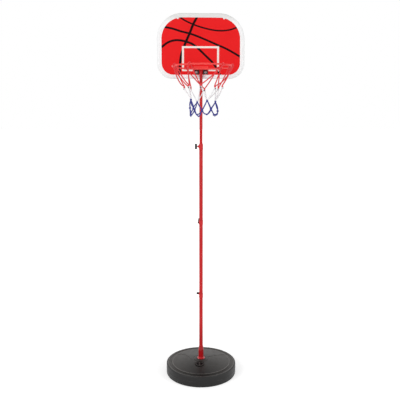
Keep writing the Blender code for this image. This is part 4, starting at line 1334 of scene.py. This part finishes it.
# White aiming rectangle: its outer edges, then the width of each bar.
TARGET = (-0.0790, 0.0760, WINDOW_HIGH - 0.2190, WINDOW_HIGH - 0.1165)
BARS = (0.0085, -0.0085, 0.0062, -0.0080)


def slab(shape, grow, back, front, material=0):
    """Plate in the shape of the window. The card's margin lies under the lip."""
    loops = [upright(depth, window_outline(grow)) for depth in (back, front)]
    loft(shape, loops, False, material)


def seam(width, points, front):
    """Flat strip along a line on the card, cut off just inside the card's edge."""
    path = [Vector((x / 1000.0, 0.0, WINDOW_HIGH + z / 1000.0)) for x, z in points]
    path = smooth_path(path, False, 0.004)
    loops = []
    for number, point in enumerate(path):
        ahead = heading(path, number)
        across = Vector((ahead.z, 0.0, -ahead.x)).normalized() * (width / 2.0)
        loop = []
        for side, depth in ((-1.0, INK_DEEP), (1.0, INK_DEEP), (1.0, front), (-1.0, front)):
            spot = point + across * side
            loop.append(Vector((spot.x, depth, spot.z)))
        loops.append(loop)
    shape = bmesh.new()
    face_out(shape, loft(shape, loops))
    keep = bmesh.new()
    slab(keep, CARD_MARGIN - 0.0003, CARD_FRONT + 0.002, CARD_FRONT - 0.002)
    return carve(shape, (tool(keep), "INTERSECT"))


card = bmesh.new()
slab(card, CARD_MARGIN, card_high.y, CARD_FRONT + 0.0001, 1)
slab(card, CARD_MARGIN, CARD_FRONT + 0.0002, CARD_FRONT)
piece("printed_card", card, [PRINT_RED, CARD_BACK], "mast", ["print_card"])
for number, (width, points) in enumerate(SEAMS):
    line = seam(width, points, INK_FACE - 0.00002 * number)
    piece("seam_line_%d" % (number + 1), line, [PRINT_BLACK], "mast", [])
front = INK_FACE - 0.0001
loops = []
for grow, depth in ((0.0, INK_DEEP), (0.0, front), (1.0, front), (1.0, INK_DEEP)):
    edges = [edge + bar * grow for edge, bar in zip(TARGET, BARS)]
    loops.append(upright(depth, rectangle(*edges, 0.0006, 2)))
target = bmesh.new()
loft(target, loops, True)
piece("target_rectangle", target, [PRINT_WHITE], "mast", [])


# ---------------------------------------------------------------------- net
MESHES = 8
STEP = 360.0 / MESHES
HALF_STEP = STEP / 2.0
CORD_R = 0.0021
# The dyed cords are a little softer and fuller than the white one.
DYED_R = CORD_R * 1.12
KNOT_CORD_R = CORD_R * 0.78
CORD_LAY = 0.011
CORD_GROOVE = 0.16
CORD_STRANDS = 3.0
WRAP_R = RING_TUBE_R + DYED_R + 0.0002
BEND = 0.0026
KNOT_HALF = 0.0020
KNOT_BULGE = 0.20
KNOT_HEIGHT = 1.5
TIE_CORD_R = 0.0006
TIE_R = 0.0030
TIE_DROP = 0.0038
TIE_HEIGHT = 0.0042
TIE_TURNS = 5
TIE_STEPS = 10
# Drop of each row of knots below the ring, its radius, and where it starts.
DROPS = (0.0835, 0.1334, 0.1679, 0.1994 - CORD_R)
ROW_RADII = (0.0740, 0.0506, 0.0556, 0.0517)
ROW_STARTS = (-9.3, HALF_STEP, 0.0, HALF_STEP)
# How far each turn of cord has slid along the ring, in degrees.
SLIDES = (-5.0, -14.0, 7.5, 0.0, 0.0, -5.0, 15.0, 4.0)
# Slack of the red strands in millimetres, round the ring from the right.
RING_SLACK = (4, 3, 3, 3, 3, 8, 7, 17, 6, 3, 3, 3, 4, 12, 7, 7)
# How far each knot lies from its even place: outward, round and up, in
# millimetres. The rows run down, and the knots round from the right.
SHIFTS = (
    ((4, 0, 5), (5, -3, 1), (0, 1, -2), (1, 2, -2))
    + ((-1, -1, 2), (-2, 5, 6), (0, 1, 6), (0.5, 2, 1)),
    ((4, -3, -2.5), (1, -1, 2), (0, 0, -4.5), (-1, -1, 6))
    + ((0, 0, 5), (0, -4, -6), (-1, -4, 0), (3, 0, -3.5)),
    ((4, 0, -6), (-2, 4, 2), (0, -1, -3), (-3, -3, 6))
    + ((-6, 0, 6), (-4, 5, -1), (0, -5, -4), (-5, -6, 1)),
    ((2, -1, 2), (0, 1, 7), (0, 1, 6), (0, 0, 4))
    + ((-1, 0, 1), (0, 2, 0), (-2, -5, 7), (-4, -6, 5)),
)


def beside(angle):
    """Way round the ring at an angle."""
    turn = math.radians(angle)
    return Vector((-math.sin(turn), math.cos(turn), 0.0))


def knot_at(row, number):
    """Middle of a knot in one of the net's four rows."""
    number %= MESHES
    outward, around, up = (value / 1000.0 for value in SHIFTS[row][number])
    angle = STEP * number + ROW_STARTS[row]
    spot = around_ring(angle, ROW_RADII[row] + outward, up - DROPS[row])
    return spot + beside(angle) * around


def turn_at(row, number, up):
    """Bend of a cord at a knot; up is -1 where the cord comes from above."""
    spot = knot_at(row, number) - raised(up * KNOT_HALF)
    outward = Vector((spot.x, spot.y - RING_Y, 0.0)).normalized()
    side = Vector((-outward.y, outward.x, 0.0)) * BEND
    end = spot - raised(up * BEND)
    return [end - side, spot + raised(up * 0.0005), end + side]


def loop_over_ring(number):
    """Turn of cord over the ring, from inside to out."""
    angle = HALF_STEP + STEP * number + SLIDES[number]
    points = []
    for step, degrees in enumerate((-34.0, -4.0, 30.0, 62.0, 94.0, 126.0, 156.0, 182.0)):
        lift = math.radians(degrees)
        spot = around_ring(angle, RING_R + WRAP_R * math.cos(lift), WRAP_R * math.sin(lift))
        points.append(spot + beside(angle) * (BEND * (step / 3.5 - 1.0)))
    return points


def hanging(start, end, sag, steps, loose):
    """Points of a slack strand, which bows down and a little to one side."""
    bow = RANDOM.uniform(-loose, loose)
    away = Vector((start.x + end.x, start.y + end.y - 2.0 * RING_Y, 0.0)).normalized()
    points = []
    for step in range(1, steps):
        share = step / steps
        curve = 4.0 * share * (1.0 - share)
        points.append(start.lerp(end, share) + raised(-sag * curve) + away * (bow * curve))
    return points


def cord_route(row, slack, steps=3, loose=0.0034):
    """Cord between a row of knots, or the ring as row -1, and the next row."""
    if row < 0:
        tops = [loop_over_ring(number) for number in range(MESHES)]
    else:
        tops = [turn_at(row, number, 1.0) for number in range(MESHES)]
    route = []
    for number, top in enumerate(tops):
        low = turn_at(row + 1, number + row % 2, -1.0)
        following = tops[(number + 1) % MESHES]
        sags = [sag / 1000.0 for sag in slack[2 * number : 2 * number + 2]]
        route += top + hanging(top[-1], low[0], sags[0], steps, loose) + low
        route += hanging(low[-1], following[0], sags[1], steps, loose)
    return route


def twisted(radius):
    """Section of laid cord: strands that wind round one another."""

    def section(along, angle):
        wave = abs(math.cos(CORD_STRANDS / 2.0 * (angle + 2.0 * math.pi * along / CORD_LAY)))
        return radius * (1.0 - CORD_GROOVE + CORD_GROOVE * wave)

    return section


def knots(shape, row, size):
    """Tied knots: two tight turns of cord round the crossing."""
    for number in range(MESHES):
        middle = knot_at(row, number)
        lean = Matrix.Rotation(RANDOM.uniform(0.0, 6.28), 3, "Z")
        lean = lean @ Matrix.Rotation(RANDOM.uniform(-0.5, 0.5), 3, "X")
        points = []
        for step in range(24):
            turn = 2.0 * math.pi * step / 12.0
            rise = (step / 23.0 - 0.5) * size * KNOT_HEIGHT
            reach = size * (1.0 - KNOT_BULGE + KNOT_BULGE * math.sin(2.5 * turn))
            points.append(middle + lean @ polar(reach, turn, rise))
        sweep(shape, smooth_path(points, False, 0.0008), False, twisted(KNOT_CORD_R))


def ties(shape):
    """Dark thread that binds the two colours of cord under the first knots."""
    last = TIE_TURNS * TIE_STEPS - 1
    for number in range(MESHES):
        middle = knot_at(0, number) - raised(TIE_DROP)
        points = []
        for step in range(last + 1):
            turn = 2.0 * math.pi * step / TIE_STEPS
            points.append(middle + polar(TIE_R, turn, -TIE_HEIGHT * step / last))
        sweep(shape, points, False, wire(TIE_CORD_R), 1)


# Every route is drawn before the first knot. Each row: name, slot, finish,
# radius, row and size of its knots, route.
for label, slot, material, radius, knot_row, size, route in (
    ("red", "red", CORD_RED, DYED_R, 0, 0.0027, cord_route(-1, RING_SLACK, 4, 0.0018)),
    ("white", "white", CORD_WHITE, CORD_R, None, 0.0, cord_route(0, (2,) * 16, 3, 0.0018)),
    ("blue_upper", "blue", CORD_BLUE, DYED_R, 1, 0.0028, cord_route(1, (1,) * 16)),
    ("blue_lower", "blue", CORD_BLUE, DYED_R, 2, 0.0036, cord_route(2, (3,) * 16)),
):
    shape = bmesh.new()
    sweep(shape, smooth_path(route, True, 0.0016), True, twisted(radius))
    if size:
        knots(shape, knot_row, size)
    if label == "red":
        ties(shape)
    node = "net_" + label
    piece("cord_" + node, shape, [material, CORD_TIE], "mast", [node], 70.0)


# ------------------------------------------------- CAD nodes that stay shown
for node, material in (("cap_seal", SEAL_RUBBER), ("slide_plug", KNOB_BLACK)):
    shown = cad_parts[node]
    shown.data.materials.clear()
    shown.data.materials.append(material)


# ------------------------------------------------------------ floor, light
WHITE = (1.0, 1.0, 1.0, 1.0)
AMBIENT = 0.50
FLOOR_TOP = -0.0003
FLOOR_UNDER = -0.02
FLOOR_HOLE = 0.01
FLOOR_RADII = (0.5, 2.0, 8.0, 40.0)


def background_share(tree):
    """1 where a camera, glossy or transmission ray looks at the surface."""
    rays = tree.nodes.new("ShaderNodeLightPath").outputs
    share = rays["Is Camera Ray"]
    for kind in ("Is Glossy Ray", "Is Transmission Ray"):
        pair = (0, share), (1, rays[kind])
        share = new_node(tree, "ShaderNodeMath", *pair, operation="MAXIMUM").outputs[0]
    return share


def softbox(name, place, target, width, height, power):
    data = bpy.data.lights.new(name, "AREA")
    data.shape = "RECTANGLE"
    data.size = width
    data.size_y = height
    data.energy = power
    made = bpy.data.objects.new(name, data)
    bpy.context.scene.collection.objects.link(made)
    made.location = place
    made.rotation_mode = "QUATERNION"
    made.rotation_quaternion = (Vector(target) - Vector(place)).to_track_quat("-Z", "Y")


world = bpy.data.worlds.new("studio")
bpy.context.scene.world = world
world.use_nodes = True
tree = world.node_tree
light = tree.nodes["Background"]
light.inputs["Color"].default_value = WHITE
light.inputs["Strength"].default_value = AMBIENT
shown = new_node(tree, "ShaderNodeBackground", ("Color", WHITE))
layers = ("Fac", background_share(tree)), (1, light.outputs[0]), (2, shown.outputs[0])
blend = new_node(tree, "ShaderNodeMixShader", *layers)
tree.links.new(blend.outputs[0], tree.nodes["World Output"].inputs["Surface"])

# The floor glows less near the stand, so that it takes a soft shadow there.
floor_material = bpy.data.materials.new("floor_white")
floor_material.use_nodes = True
tree = floor_material.node_tree
tree.nodes.remove(tree.nodes["Principled BSDF"])
place = tree.nodes.new("ShaderNodeTexCoord").outputs["Object"]
reach = new_node(tree, "ShaderNodeVectorMath", (0, place), operation="LENGTH")
span = ("From Min", 0.20), ("From Max", 0.75), ("To Min", 0.50), ("To Max", 1.0)
spread = new_node(tree, "ShaderNodeMapRange", ("Value", reach.outputs["Value"]), *span)
factors = (0, background_share(tree)), (1, spread.outputs["Result"])
strength = new_node(tree, "ShaderNodeMath", *factors, operation="MULTIPLY")
matt = new_node(tree, "ShaderNodeBsdfDiffuse", ("Color", (0.80, 0.80, 0.80, 1.0)))
glow = new_node(tree, "ShaderNodeEmission", ("Color", WHITE), ("Strength", strength.outputs[0]))
both = new_node(tree, "ShaderNodeAddShader", (0, matt.outputs[0]), (1, glow.outputs[0]))
tree.links.new(both.outputs[0], tree.nodes["Material Output"].inputs["Surface"])
profile = [(radius, FLOOR_TOP, 0.0) for radius in (FLOOR_HOLE, *FLOOR_RADII)]
profile += [(radius, FLOOR_UNDER, 0.0) for radius in (FLOOR_RADII[-1], FLOOR_HOLE)]
floor = new_object("floor", turned(profile, 1, 64), [floor_material])

softbox("key_light", (-2.1, -2.0, 1.7), (0.0, 0.0, 0.8), 1.2, 2.0, 36.0)
softbox("fill_light", (2.3, -1.7, 1.5), (0.0, 0.0, 0.8), 1.2, 2.0, 26.0)
softbox("top_light", (0.0, -0.6, 3.3), (0.0, 0.0, 0.6), 1.6, 1.6, 1.5)
